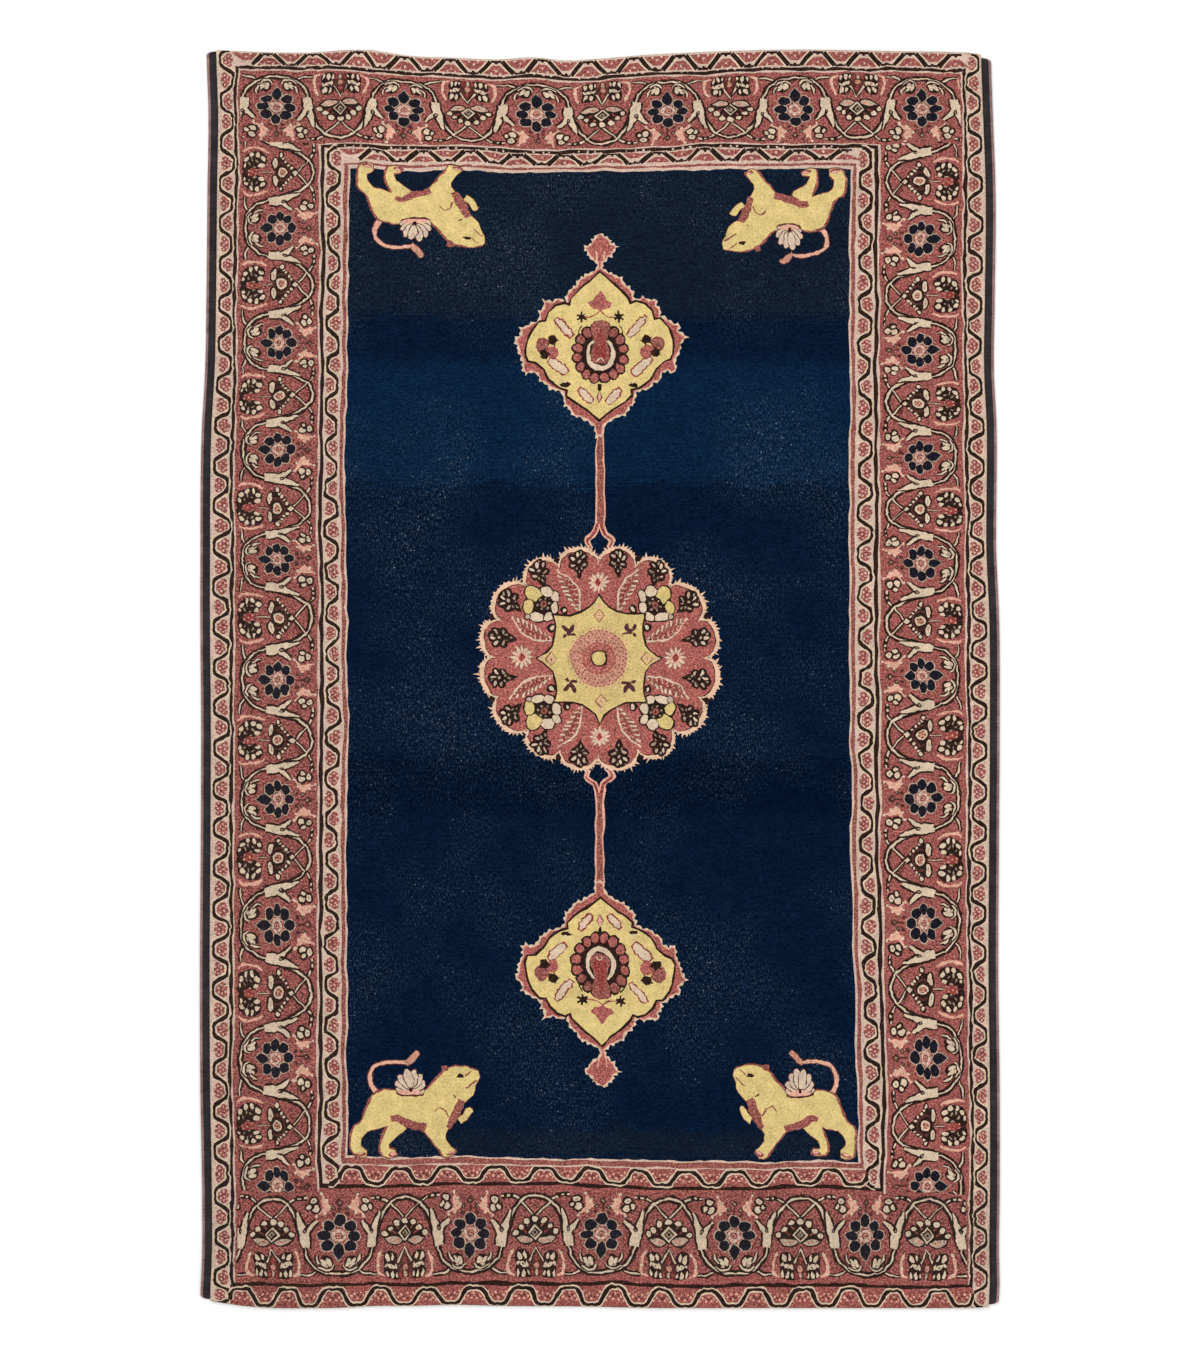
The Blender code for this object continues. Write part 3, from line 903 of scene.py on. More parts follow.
def pendant(tall):
    """The upper pendant with its finial. The origin is the middle of its flower."""
    chart = Chart()
    edge = from_right(PENDANT_EDGE)
    chart.fill(toothed(edge), "cream")
    chart.fill(grown(edge, -1.1), "blush")
    chart.fill(grown(edge, -2.1), "coral")
    chart.outlined(from_right(PENDANT_GROUND), "gold", 2.1)
    for sign in (-1, 1):
        line = [(4.4 * sign, 102.5), (3.6 * sign, 95), (1.9 * sign, 88), (1.8 * sign, 84)]
        chart.stroke(line, 1.5, "blush")
    chart.blob([(0, 60.5), (4.8, 55.6), (7.4, 51.4), (12.6, 49.4), (8.6, 44.4), (3.4, 42.8), (0, 40.6),
                (-3.4, 42.8), (-8.6, 44.4), (-12.6, 49.4), (-7.4, 51.4), (-4.8, 55.6)], "coral")
    chart.both_sides(pendant_flank())
    chart.outlined(lozenge(2.4, 6.0, (0, -44.6)), "blush", 1.1, "wine")
    chart.line([(0, -31), (0, -38)], 3.2, "ink")
    chart.add(pendant_medallion(), lambda p: p * (1, tall))
    return chart


def stem(length):
    """A stem from (0, 0) up that splits at its foot. Y runs up."""
    chart = Chart()
    chart.line([(0, 0), (0, length)], 9.6, "blush")
    chart.line([(0, 0), (0, length)], 6.0, "brick")
    for sign in (-1, 1):
        arm = [(1.4 * sign, 3), (5 * sign, -6.5), (12.5 * sign, -14), (8.6 * sign, -22)]
        chart.stroke(arm, (5.8, 5.8, 6.6, 5.2), "blush")
        chart.stroke(arm, (3.2, 2.4, 1.8, 1.4), "madder")
    return chart


# == Lions ==

LION_BODY = [
    (-43, 18), (-31, 20.5), (-17, 17), (-5, 17), (6, 20), (15, 29), (22, 37.5), (31, 43.4), (42, 45.4),
    (53, 44.2), (59.5, 41), (60.5, 35.5), (57, 28), (54, 18), (47, 11.5), (41, 9), (37.5, -2), (32, -14),
    (27.5, -22), (28, -30), (33, -37), (37.5, -41.5), (33, -46), (24.5, -45.5), (20.5, -38.5), (12, -29),
    (5, -21.5), (-7, -15.5), (-21, -11), (-14.5, -17.5), (-21, -24), (-28.5, -30), (-31.5, -38),
    (-24.5, -39.5), (-22.5, -43.5), (-28, -46), (-37, -45), (-40, -35.5), (-36.5, -25), (-33.5, -15.5),
    (-40, -17.5), (-52, -21), (-57.5, -27.5), (-58.5, -35.5), (-53, -40), (-53.5, -46), (-63.5, -46.5),
    (-68.5, -36), (-68, -22), (-66, -16.5), (-59, -12.5), (-53.5, 2), (-49, 13),
]


def lion():
    """A gold lion walking to the right with a half sun behind its back. Its feet stand at -46."""
    chart = Chart()
    tail = [(-41, 15), (-48.5, 26), (-49, 38), (-42, 45.5), (-28, 49), (-11, 47.5)]
    chart.stroke(tail, (7.4, 6.4, 5.4, 5.0, 4.8), "wine")
    chart.stroke(tail, (5.6, 4.2, 3.4, 3.2, 3.0), "blush")
    tuft = [(-13.5, 46.5), (-8, 50.5), (-3, 56)]
    chart.stroke(tuft, (7.0, 8.2, 7.6), "wine")
    chart.dot(tuft[-1], 3.2, "dusty", 0.9, "wine")
    chart.stroke(tuft, (5.0, 6.4, 6.0), "dusty")
    outline = curve(LION_BODY, closed=True, step=4.5)
    chart.fill(grown(outline + (-0.9, 0.2), 1.7), "wine")
    chart.fill(grown(outline + (-0.9, 0.2), 1.1), "brick")
    chart.fill(outline, "gold")
    chart.stroke([(-30, -8.5), (-22, -7.6), (-12, -12.5), (5.5, -17.5)], (5.6, 8.6, 7.8, 7.4), "rose")
    paw = [(40, -9), (46, -5), (50.5, 1)]
    chart.stroke(paw, (8.6, 8.8, 8.4), "wine")
    chart.stroke(paw, (6.4, 6.8, 6.4), "gold")
    chart.dot(paw[-1], 3.6, "gold", 1.0, "wine")
    chart.stroke(paw, (6.4, 6.8, 6.8), "gold")
    chart.stroke([(43, 12.5), (38.5, 2), (33.5, -8), (29.5, -16)], (7.4, 9.2, 8.8, 4.8), "brick")
    chart.fill(moved(petal(8.5, 6.5), (28.5, 41), 62), "brick")
    for x, y in ((-59, -44.2), (-27, -42.9), (33.0, -43.0)):
        chart.fill(oval((x, y), 5.6, 2.4, 12, 10), "rose")
        chart.fill(oval((x, y + 0.8), 3.6, 1.4, 12, 8), "blush")
    chart.stroke([(9, 22.5), (14.5, 29.5), (21.5, 37.5)], (1.2, 2.4, 1.4), "brick")
    chart.fill(moved([(-4.6, -1.0), (-0.5, 2.6), (3.2, 2.0), (4.4, -0.6), (0, -1.4)], (41, 35.6)), "ink")
    chart.stroke([(46.5, 36), (50.5, 39.6), (53.4, 42)], 1.3, "brick")
    chart.stroke([(47.5, 25), (52.5, 29), (58, 32.5)], 1.4, "brick")
    chart.line([(33.5, 17.5), (37, 15)], 1.4, "wine")
    chart.stroke([(14.5, 0), (20, 4.2), (26, 1.2), (29, -5.6)], 1.5, "brick")
    sun = (-9.5, 19.0)
    for side, reach in ((82, 14.6), (57, 17.4), (33, 20.4), (11, 22.4)):
        for turn in (-side, side):
            ray = oval(around(0.58 * reach, turn, sun), 4.1, 0.43 * reach, turn, 14)
            chart.outlined(ray, "cream", 0.9, "wine")
            chart.fill(oval(around(0.72 * reach, turn, sun), 2.2, 0.2 * reach, turn, 8), "shell")
    chart.fill(oval((-9.5, 16.6), 14.4, 3.2, steps=20), "wine")
    chart.fill(oval((-9.5, 17.8), 12.8, 2.6, steps=18), "blush")
    chart.dot((-9.5, 19.6), 2.0, "ink")
    return chart


# == The whole chart ==

GUARD_PITCHES = (41, 46)           # one wave of a guard, along the sides and the ends
MEDALLION = (-0.5, 20.6)           # its middle, in knots from the rug's
PENDANTS = ((0.2, 326.0, 1, 1.0), (0.6, -286.0, -1, 1.1))
STEMS = ((-0.2, 153.0, 98.0, 1), (-0.2, -112.0, 92.0, -1))
LIONS = ((-180.0, -432.0, 0.98, 1), (190.6, -432.0, -0.93, 1), (-175.0, 473.0, 1, -0.87),
         (180.2, 467.7, -0.94, -0.89))


def main_border(chart):
    """The border's flowers on the sides, and then its ends over them."""
    half, far, near = GROUND
    inner_half, inner_far, inner_near = INNER_PALE
    for side, sign in (("left", -1), ("right", 1)):
        places = [float(unbent((sign * 322, y))[1]) for y in SIDE_PLACES[side]]
        border_strip(chart, places, (rosette_unit(0.88), side_palmette_unit()), 0,
                     lambda along, out, sign=sign: np.column_stack(
                         (sign * (inner_half + (half - inner_half) * out), along)))
    for end, level, inner, outer in (("far", 568, inner_far, far), ("near", -557, inner_near, near)):
        chart.fill(rectangle(-half, min(inner, outer), half, max(inner, outer)), "rose")
        places = [float(unbent((x, level))[0]) for x in END_PLACES[end]]
        border_strip(chart, places, (rosette_unit(1.0), palmette_unit()), 0 if end == "near" else 1,
                     lambda along, out, inner=inner, outer=outer: np.column_stack(
                         (along, inner + (outer - inner) * out)))


def whole_chart():
    """Every shape of the rug in painting order, in knots from its middle."""
    rng = np.random.default_rng(11)
    chart = Chart()
    chart.fill(box(PILE), "rose")
    main_border(chart)
    ring_of(chart, OUTER_DARK, GROUND, "rose")
    ring_of(chart, OUTER_PALE, OUTER_DARK, "shell")
    chart.fill(rectangle(-OUTER_DARK[0], OUTER_PALE[2], OUTER_DARK[0], OUTER_DARK[2]), "rose")
    ring_of(chart, OUTER_LINE, OUTER_PALE, "ink")
    guard_frame(chart, PILE, OUTER_LINE, *GUARD_PITCHES)
    for band, dye in ((INNER_PALE, "shell"), (INNER_LINE, "ink"), (INNER_GUARD, "shell")):
        chart.fill(box(band), dye)
    chart.fill(rectangle(-INNER_LINE[0], INNER_PALE[2], INNER_LINE[0], INNER_LINE[2]), "rose")
    guard_frame(chart, INNER_GUARD, STRIPE_RIM, *GUARD_PITCHES)
    for band, dye in ((STRIPE_RIM, "shell"), (STRIPE, "brick"), (FIELD_RIM, "shell"), (FIELD, "navy")):
        chart.fill(box(band), dye)

    def put(part, place, across=1, up=1):
        """A part at its place on the rug, stretched or mirrored by across and up."""
        chart.add(part, lambda p: p * (across, up) + unbent(place))

    for x, y, length, up in STEMS:
        put(stem(length), (x, y), up=up)
    put(medallion(rng), MEDALLION)
    for x, y, up, tall in PENDANTS:
        put(pendant(tall), (x, y), up=up)
    for x, y, across, up in LIONS:
        put(lion(), (x, y), across, up)
    return chart


# == From the chart to the rug's own lines ==

CORNER_REACH = (376.0, 606.0)      # the sides' and the ends' own points lie within this
RIM_DEPTH = 20                     # and less than this far inside that


def points_of(item):
    """An object's vertices, in metres."""
    return np.array([tuple(vertex.co) for vertex in item.data.vertices])


BASE = points_of(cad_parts["rug_body"])
BASE = BASE[BASE[:, 2] < 1e-6][:, :2] / KNOT
CORNERS = [BASE[np.argmax(BASE @ (x, y))] for x in (-1, 1) for y in (-1, 1)]


def rim_line(axis, sign):
    """The rug's rim on one side, as the places along it and how far out it stands."""
    along = 1 - axis
    at_rim = sign * BASE[:, axis] > CORNER_REACH[axis] - RIM_DEPTH
    keep = at_rim & (np.abs(BASE[:, along]) < CORNER_REACH[along])
    points = np.vstack((BASE[keep], [corner for corner in CORNERS if np.sign(corner[axis]) == sign]))
    points = points[np.argsort(points[:, along])]
    return points[:, along], points[:, axis]


LONG_EDGES = [rim_line(0, sign) for sign in (-1, 1)]
END_EDGES = [rim_line(1, sign) for sign in (-1, 1)]


def from_rim(x, y):
    """How far points lie inside the pile's rim, in knots."""
    return np.minimum(PILE[0] - np.abs(x), np.minimum(PILE[1] - y, y - PILE[2]))


def between(levels, shifts, at):
    """Shifts at each place, read between the levels on its two sides."""
    levels = np.asarray(levels)
    place = np.clip(np.searchsorted(levels, at) - 1, 0, len(levels) - 2)
    share = np.clip((at - levels[place]) / (levels[place + 1] - levels[place]), 0, 1)
    pick = np.arange(len(at))
    return shifts[place, pick] * (1 - share) + shifts[place + 1, pick] * share


def shifts_of(lines, rows, edges, rims, along):
    """The levels from rim to rim, and how far each is shifted at the places along."""
    rows = np.array(sorted(rows), float)
    inner = [np.interp(along, rows[:, 0], rows[:, column + 1]) for column in range(len(lines))]
    outer = [np.interp(along, *edge) - rim for edge, rim in zip(edges, rims)]
    return (rims[0], *lines, rims[1]), np.array([outer[0], *inner, outer[1]])


def wobble(points):
    """The hand's small unevenness, in knots, as a smooth field of shifts."""
    rng = np.random.default_rng(5)
    shift = np.zeros_like(points)
    for length, size in ((95, 0.8), (38, 0.7), (14, 0.45), (7, 0.42), (4.3, 0.34)):
        for turn in rng.uniform(0, math.pi, 6):
            phase = (points @ (math.cos(turn), math.sin(turn))) * 2 * math.pi / length
            for axis in (0, 1):
                shift[:, axis] += size / 3.0 * np.sin(phase + rng.uniform(0, 2 * math.pi))
    return shift


def bent(points, uneven=True):
    """Points of the chart moved to where the weaver knotted them, in knots."""
    points = np.atleast_2d(np.asarray(points, float))
    x, y = points.T
    across = between(*shifts_of(LONG_LINES, LONG_SHIFTS, LONG_EDGES, (-PILE[0], PILE[0]), y), x)
    up = between(*shifts_of(CROSS_LINES, CROSS_SHIFTS, END_EDGES, (PILE[2], PILE[1]), x), y)
    out = points + np.column_stack((across, up))
    if uneven:
        out += wobble(points) * np.clip(from_rim(x, y) / 12, 0, 1)[:, None]
    return out


def unbent(place):
    """The chart's point that bent() sends to a place on the rug."""
    guess = np.array([place], float)
    for _ in range(6):
        guess += place - bent(guess, uneven=False)
    return guess[0]


# == From the chart to meshes ==

LONGEST_EDGE = 12.0        # straight outlines are split so that they can bend, in knots
GROUND_STEP = 13.0         # spacing of the points that carry the plain ground
GROUND_MARGIN = 6          # they start this far inside the rim
GROUND_JITTER = 3.5
SLIVER = 1e-4              # smallest double area of a face, in square knots


def split_edges(outline, longest=LONGEST_EDGE, closed=True):
    """An outline with points added along its long straight edges."""
    p = np.asarray(outline, float)
    ends = np.roll(p, -1, axis=0) if closed else p[1:]
    out = []
    for a, b in zip(p, ends):
        steps = max(1, math.ceil(math.dist(a, b) / longest))
        out += [a + (b - a) * step / steps for step in range(steps)]
    if not closed:
        out.append(p[-1])
    return np.array(out)


def ground_points():
    """Scattered points that carry the plain ground."""
    half, far, near = PILE
    xs = np.arange(-half + GROUND_MARGIN, half - GROUND_MARGIN + 1, GROUND_STEP)
    ys = np.arange(near + GROUND_MARGIN, far - GROUND_MARGIN + 1, GROUND_STEP)
    grid = np.array([(x, y) for x in xs for y in ys])
    return grid + np.random.default_rng(3).uniform(-GROUND_JITTER, GROUND_JITTER, grid.shape)


def triangulate(chart):
    """Points and triangles of the whole rug that keep to every outline of the chart."""
    half, far, near = PILE
    lines = [(split_edges(outline), True) for outline, _ in chart.shapes]
    for inset in (0.35 * SHOULDER, SHOULDER):
        lines.append((split_edges(rectangle(-half + inset, near + inset, half - inset, far - inset)), True))
    cuts = [[(-half, y), (half, y)] for y in FIELD[1:]] + [[(x, near), (x, far)] for x in (-half, half)]
    lines += [(split_edges(cut, closed=False), False) for cut in cuts]
    points, edges, count = [], [], 0
    for line, closed in lines:
        index = count + np.arange(len(line))
        pairs = np.column_stack((index, np.roll(index, -1)))
        points.append(np.clip(line, (-half, near), (half, far)))
        edges.append(pairs if closed else pairs[:-1])
        count += len(line)
    points = np.round(np.vstack([*points, ground_points()]), 2)
    points, where = np.unique(points, axis=0, return_inverse=True)
    edges = where.reshape(-1)[np.vstack(edges)]
    edges = np.unique(np.sort(edges[edges[:, 0] != edges[:, 1]], axis=1), axis=0)
    made = delaunay_2d_cdt([tuple(p) for p in points], [tuple(e) for e in edges.tolist()], [], 0, 1e-4, False)
    corners, faces = np.array([tuple(p) for p in made[0]]), np.array(made[2])
    a, b, c = (corners[faces[:, k]] for k in range(3))
    double_area = (b[:, 0] - a[:, 0]) * (c[:, 1] - a[:, 1]) - (c[:, 0] - a[:, 0]) * (b[:, 1] - a[:, 1])
    faces[double_area < 0] = faces[double_area < 0][:, ::-1]
    return corners, faces[np.abs(double_area) > SLIVER]


def inside(outline, points):
    """Which points lie inside an outline, counting how often it winds round them."""
    a, b = outline, np.roll(outline, -1, axis=0)
    x, y = points[:, :1], points[:, 1:]
    left = (b[:, 0] - a[:, 0]) * (y - a[:, 1]) - (x - a[:, 0]) * (b[:, 1] - a[:, 1])
    rising = (a[:, 1] <= y) & (b[:, 1] > y) & (left > 0)
    falling = (a[:, 1] > y) & (b[:, 1] <= y) & (left < 0)
    return rising.sum(axis=1) != falling.sum(axis=1)


def dye_faces(chart, centres):
    """The dye that shows at each centre, as its number in DYE_NAMES."""
    order = np.argsort(centres[:, 0])
    ranked = centres[order]
    dyes = np.zeros(len(centres), int)
    for outline, dye in chart.shapes:
        (left, near), (right, far) = outline.min(axis=0), outline.max(axis=0)
        first, last = np.searchsorted(ranked[:, 0], (left, right))
        near_by = np.arange(first, last)
        near_by = near_by[(ranked[first:last, 1] >= near) & (ranked[first:last, 1] <= far)]
        if len(near_by):
            hit = near_by[inside(outline, ranked[near_by])]
            dyes[order[hit]] = DYE_NAMES.index(dye)
    return dyes


def linear(colour):
    """An sRGB colour of 0 to 255 in the linear values that Blender's colours use."""
    value = np.array(colour) / 255
    return tuple(np.where(value > 0.04045, ((value + 0.055) / 1.055) ** 2.4, value / 12.92))


def linked(name, data):
    """A new object in the scene."""
    made = bpy.data.objects.new(name, data)
    bpy.context.collection.objects.link(made)
    return made


def pile_height(points):
    """Height of the pile's face, rounded off at the rim and slightly uneven, in metres."""
    x, y = points.T
    rim = from_rim(x, y)
    lean = np.clip(1 - rim / SHOULDER, 0, 1)
    fall = SHOULDER * KNOT * (1 - np.sqrt(np.clip(1 - lean**2, 0, 1)))
    ripple = 0.00012 * np.sin(x / 31 + 1.7 * np.sin(y / 57)) * np.sin(y / 23 + 0.8)
    return THICKNESS - 0.0001 - fall + ripple * np.clip(rim / 6, 0, 1)


def cloth_piece(name, corners, faces, dyes, materials):
    """One closed piece of the rug: pile above, weave below, cut walls between."""
    used, where = np.unique(faces, return_inverse=True)
    faces = where.reshape(faces.shape)
    chart_points = corners[used]
    place = bent(chart_points) * KNOT
    count = len(used)
    top = np.column_stack((place, pile_height(chart_points)))
    rows = np.vstack((top, np.column_stack((place, np.zeros(count)))))
    sides = np.vstack((faces[:, (0, 1)], faces[:, (1, 2)], faces[:, (2, 0)]))
    owners = np.tile(np.arange(len(faces)), 3)
    known = {tuple(side): owner for side, owner in zip(sides.tolist(), owners.tolist())}
    rim = [(a, b, owner) for (a, b), owner in known.items() if (b, a) not in known]
    walls = [(b, a, a + count, b + count) for a, b, _ in rim]
    below = (faces + count)[:, ::-1]
    mesh = bpy.data.meshes.new(name)
    mesh.from_pydata(rows.tolist(), [], faces.tolist() + below.tolist() + walls)
    palette = np.array([(*linear(DYES[dye]), 1.0) for dye in DYE_NAMES])
    face_dyes = np.concatenate((dyes, dyes, dyes[[owner for _, _, owner in rim]]))
    corner_dyes = np.repeat(face_dyes, [3] * (2 * len(faces)) + [4] * len(walls))
    navy = (corner_dyes == DYE_NAMES.index("navy")).astype(np.float32)
    colours = palette[corner_dyes].ravel()
    mesh.attributes.new("dye", "FLOAT_COLOR", "CORNER").data.foreach_set("color", colours)
    mesh.attributes.new("navy", "FLOAT", "CORNER").data.foreach_set("value", navy)
    for material in materials:
        mesh.materials.append(material)
    slots = np.repeat((0, 1, 0), (len(faces), len(faces), len(walls))).astype(np.int32)
    mesh.polygons.foreach_set("material_index", slots)
    mesh.shade_smooth()
    mesh.set_sharp_from_angle(angle=math.radians(50))
    mesh.validate()
    return linked(name, mesh)


# == Materials ==

class Nodes:
    """A short way to build a material's node tree."""

    def __init__(self, name, **values):
        self.material = bpy.data.materials.new(name)
        self.material.use_nodes = True
        self.tree = self.material.node_tree
        self.shader = self.tree.nodes["Principled BSDF"]
        for socket, value in values.items():
            self.shader.inputs[socket.replace("_", " ")].default_value = value

    def add(self, kind, settings=None, **inputs):
        """A node's first output. An input is a value or another output, by name or position."""
        node = self.tree.nodes.new("ShaderNode" + kind)
        for key, value in (settings or {}).items():
            setattr(node, key, value)
        for key, value in inputs.items():
            socket = node.inputs[int(key[1:])] if key[1:].isdigit() else node.inputs[key.replace("_", " ")]
            if isinstance(value, bpy.types.NodeSocket):
                self.tree.links.new(value, socket)
            else:
                socket.default_value = value
        return node.outputs[0]

    def place(self):
        """The place on the rug, in metres."""
        return self.add("TexCoord").node.outputs["Object"]

    def attribute(self, name, output):
        """A value that the mesh holds."""
        return self.add("Attribute", {"attribute_name": name}).node.outputs[output]

    def math(self, operation, *values):
        """A sum of one to three values."""
        return self.add("Math", {"operation": operation}, **{f"i{k}": v for k, v in enumerate(values)})

    def times(self, first, *others):
        """The product of values."""
        for other in others:
            first = self.math("MULTIPLY", first, other)
        return first

    def scaled(self, value, factor, offset):
        """A value times a factor, plus an offset."""
        return self.math("MULTIPLY_ADD", value, factor, offset)

    def spread(self, value, low, high, bottom=0.0, top=1.0):
        """A value's range from low to high, sent to bottom to top and held there."""
        return self.add("MapRange", Value=value, From_Min=low, From_Max=high, To_Min=bottom, To_Max=top)

    def noise(self, place, scale, detail=2.0, kind="2D", **more):
        """Soft noise. A scale of three values stretches it."""
        if isinstance(scale, tuple):
            place, scale = self.add("Mapping", Vector=place, Scale=scale), 1.0
        settings = {"noise_dimensions": kind}
        return self.add("TexNoise", settings, Vector=place, Scale=scale, Detail=detail, **more)

    def mix(self, kind, share, first, second):
        """Two colours mixed by a share."""
        settings = {"data_type": "RGBA", "blend_type": kind}
        return self.add("Mix", settings, i0=share, i6=first, i7=second).node.outputs[2]

    def ramp(self, value, stops):
        """A colour ramp through (position, colour or shade) stops."""
        colours = self.add("ValToRGB", Fac=value)
        elements = colours.node.color_ramp.elements
        while len(elements) < len(stops):
            elements.new(1.0)
        for element, (place, colour) in zip(elements, stops):
            element.position = place
            element.color = (*colour, 1.0) if hasattr(colour, "__len__") else grey(colour)
        return colours

    def finish(self, colour, **bump):
        """The material, with its colour and a bump of the settings given."""
        self.tree.links.new(colour, self.shader.inputs["Base Color"])
        self.tree.links.new(self.add("Bump", **bump), self.shader.inputs["Normal"])
        return self.material


def grey(value):
    """A grey with full alpha."""
    return (value, value, value, 1.0)


# Dye lots of the navy, as sRGB values, and the lot that starts at each height up the rug, in knots
LOTS = {"deep": (4, 17, 37), "usual": (7, 22, 43), "bright": (9, 31, 55), "grey": (16, 26, 41)}
STRIPES = (
    (-540, "usual"), (-478, "grey"), (-452, "usual"), (-136, "deep"), (-78, "usual"), (196, "bright"),
    (318, "usual"), (363, "grey"),
)
STRIPES_TOP = 540
STRIPE_BLEND = 5           # a lot fades into the next over this far on each side
WAVE_MIDDLE = 0.04         # how far the noises lift the stripes' edges on average, in metres

# How much darker the borders are made at each place across and along the rug, in metres
DARKENING_ACROSS = ((-0.62, 0.10), (-0.59, 0.18), (-0.47, 0.18), (-0.45, 0.10), (-0.42, 0.10), (-0.41, 0.0))
DARKENING_ALONG = ((-0.99, 0.0), (-0.97, 0.20), (-0.86, 0.20), (-0.84, 0.0), (0.87, 0.0), (0.89, 0.05),
              (0.98, 0.05), (1.0, 0.0))
DARKENING_REACH = (0.7, 1.1)    # half the width and length that the two ramps of darkening span


def navy_lots(n, up, cloudy, streaks, warps, wefts):
    """The navy's colour: bands of dye lots with uneven edges, streaks and a faint weave."""
    wave = n.scaled(cloudy, 0.03, n.scaled(streaks, 0.05, up))
    low, high = STRIPES[0][0] * KNOT, STRIPES_TOP * KNOT
    blend = STRIPE_BLEND * KNOT
    stops = []
    for (start, lot), (stop, _) in zip(STRIPES, STRIPES[1:] + ((STRIPES_TOP, ""),)):
        for edge, side in ((start, blend), (stop, -blend)):
            stops.append(((edge * KNOT + side - low) / (high - low), linear(LOTS[lot])))
    lots = n.ramp(n.spread(wave, low + WAVE_MIDDLE, high + WAVE_MIDDLE), stops)
    lots = n.mix("MULTIPLY", 1.0, lots, n.ramp(streaks, ((0.3, 0.84), (0.5, 1.0), (0.72, 1.18))))
    weave = n.spread(n.math("ADD", warps, wefts), 0.70, 1.30, 0.55, 1.50)
    return n.mix("MULTIPLY", 1.0, lots, weave)


def darkening_share(n, split):
    """How much darker the pile is made in bands, from 0 to 1."""
    shares = []
    for axis, rows, reach in zip("XY", (DARKENING_ACROSS, DARKENING_ALONG), DARKENING_REACH):
        level = n.spread(split.outputs[axis], -reach, reach)
        shares.append(n.ramp(level, [((at + reach) / (2 * reach), share) for at, share in rows]))
    return n.math("MAXIMUM", *shares)


def pile_material():
    """Cut wool pile: each knot a little lighter or darker, with striped navy and wear."""
    n = Nodes("knotted wool pile", Roughness=0.95, Sheen_Weight=0.01, Specular_IOR_Level=0.0)
    place = n.place()
    dye, navy = n.attribute("dye", "Color"), n.attribute("navy", "Fac")
    split = n.add("SeparateXYZ", Vector=place).node
    knots = n.add("VectorMath", {"operation": "SCALE"}, i0=place, Scale=1 / KNOT)
    cells = n.add("VectorMath", {"operation": "FLOOR"}, i0=knots)
    each = n.add("TexWhiteNoise", {"noise_dimensions": "2D"}, Vector=cells).node.outputs["Value"]
    patches = n.noise(place, 300.0, Roughness=0.7)
    cloudy = n.noise(place, 9.0)
    streaks = n.noise(place, (22.0, 330.0, 1.0))
    warps = n.noise(place, (560.0, 190.0, 1.0), 1.0)
    wefts = n.noise(place, (130.0, 560.0, 1.0), 1.0)
    lots = navy_lots(n, split.outputs["Y"], cloudy, streaks, warps, wefts)

    fleck = n.scaled(each, 0.42, n.scaled(patches, 1.5, -0.46))
    bright = n.add("RGBToBW", Color=dye)
    shy = n.spread(bright, 0.10, 0.50, 1.0, 0.22)
    keen = n.spread(bright, 0.01, 0.12, 0.15, 1.0)
    pale = n.times(n.spread(fleck, 0.56, 0.90, top=0.36), keen)
    wool = n.mix("MIX", pale, dye, (*linear(DYES["blush"]), 1.0))
    # The borders are made darker in bands along the left side and the ends: more wine flecks there, and a mix
    # towards near-black
    darkening = darkening_share(n, split)
    dark = n.times(n.spread(fleck, 0.50, 0.16, top=0.74), n.scaled(darkening, 4.0, 1.0), shy, keen)
    wool = n.mix("MIX", n.math("MINIMUM", dark, 0.92), wool, (*linear(DYES["wine"]), 1.0))
    wool = n.mix("MIX", n.times(darkening, 0.45), wool, (0.045, 0.040, 0.034, 1.0))
    wool = n.mix("MIX", navy, wool, lots)

    light = n.scaled(each, 0.24, 0.88)
    blotches = n.noise(place, 55.0)
    for noise, factor, offset in ((patches, 0.40, 0.80), (cloudy, 0.16, 0.92), (blotches, 0.44, 0.78)):
        light = n.times(light, n.scaled(noise, factor, offset))
    colour = n.mix("MULTIPLY", 1.0, wool, n.add("CombineColor", Red=light, Green=light, Blue=light))

    worn = n.noise(place, 5.0, 3.0)
    bare = n.spread(n.times(each, n.scaled(worn, 0.16, 0.90)), 0.972, 1.01, top=0.22)
    thin = n.spread(worn, 0.40, 0.62)
    columns = n.spread(n.noise(place, (150.0, 7.0, 1.0), 1.0), 0.44, 0.60)
    rare = n.times(n.spread(each, 0.9955, 0.9985, top=0.62), n.times(thin, columns))
    colour = n.mix("MIX", n.times(n.math("MAXIMUM", bare, rare), navy), colour, (0.36, 0.39, 0.42, 1.0))
    showing = n.times(n.spread(warps, 0.56, 0.80, top=0.30), thin, navy)
    colour = n.mix("MIX", showing, colour, (0.09, 0.15, 0.21, 1.0))

    tufts = n.add("TexVoronoi", {"voronoi_dimensions": "2D", "feature": "F1"}, Vector=knots, Scale=1.0)
    fibres = n.noise(place, 1900.0, kind="3D")
    height = n.math("ADD", n.times(tufts, -0.5), n.times(fibres, 0.5))
    height = n.math("ADD", height, n.times(patches, 0.6))
    return n.finish(colour, Strength=0.45, Distance=0.0007, Height=height)


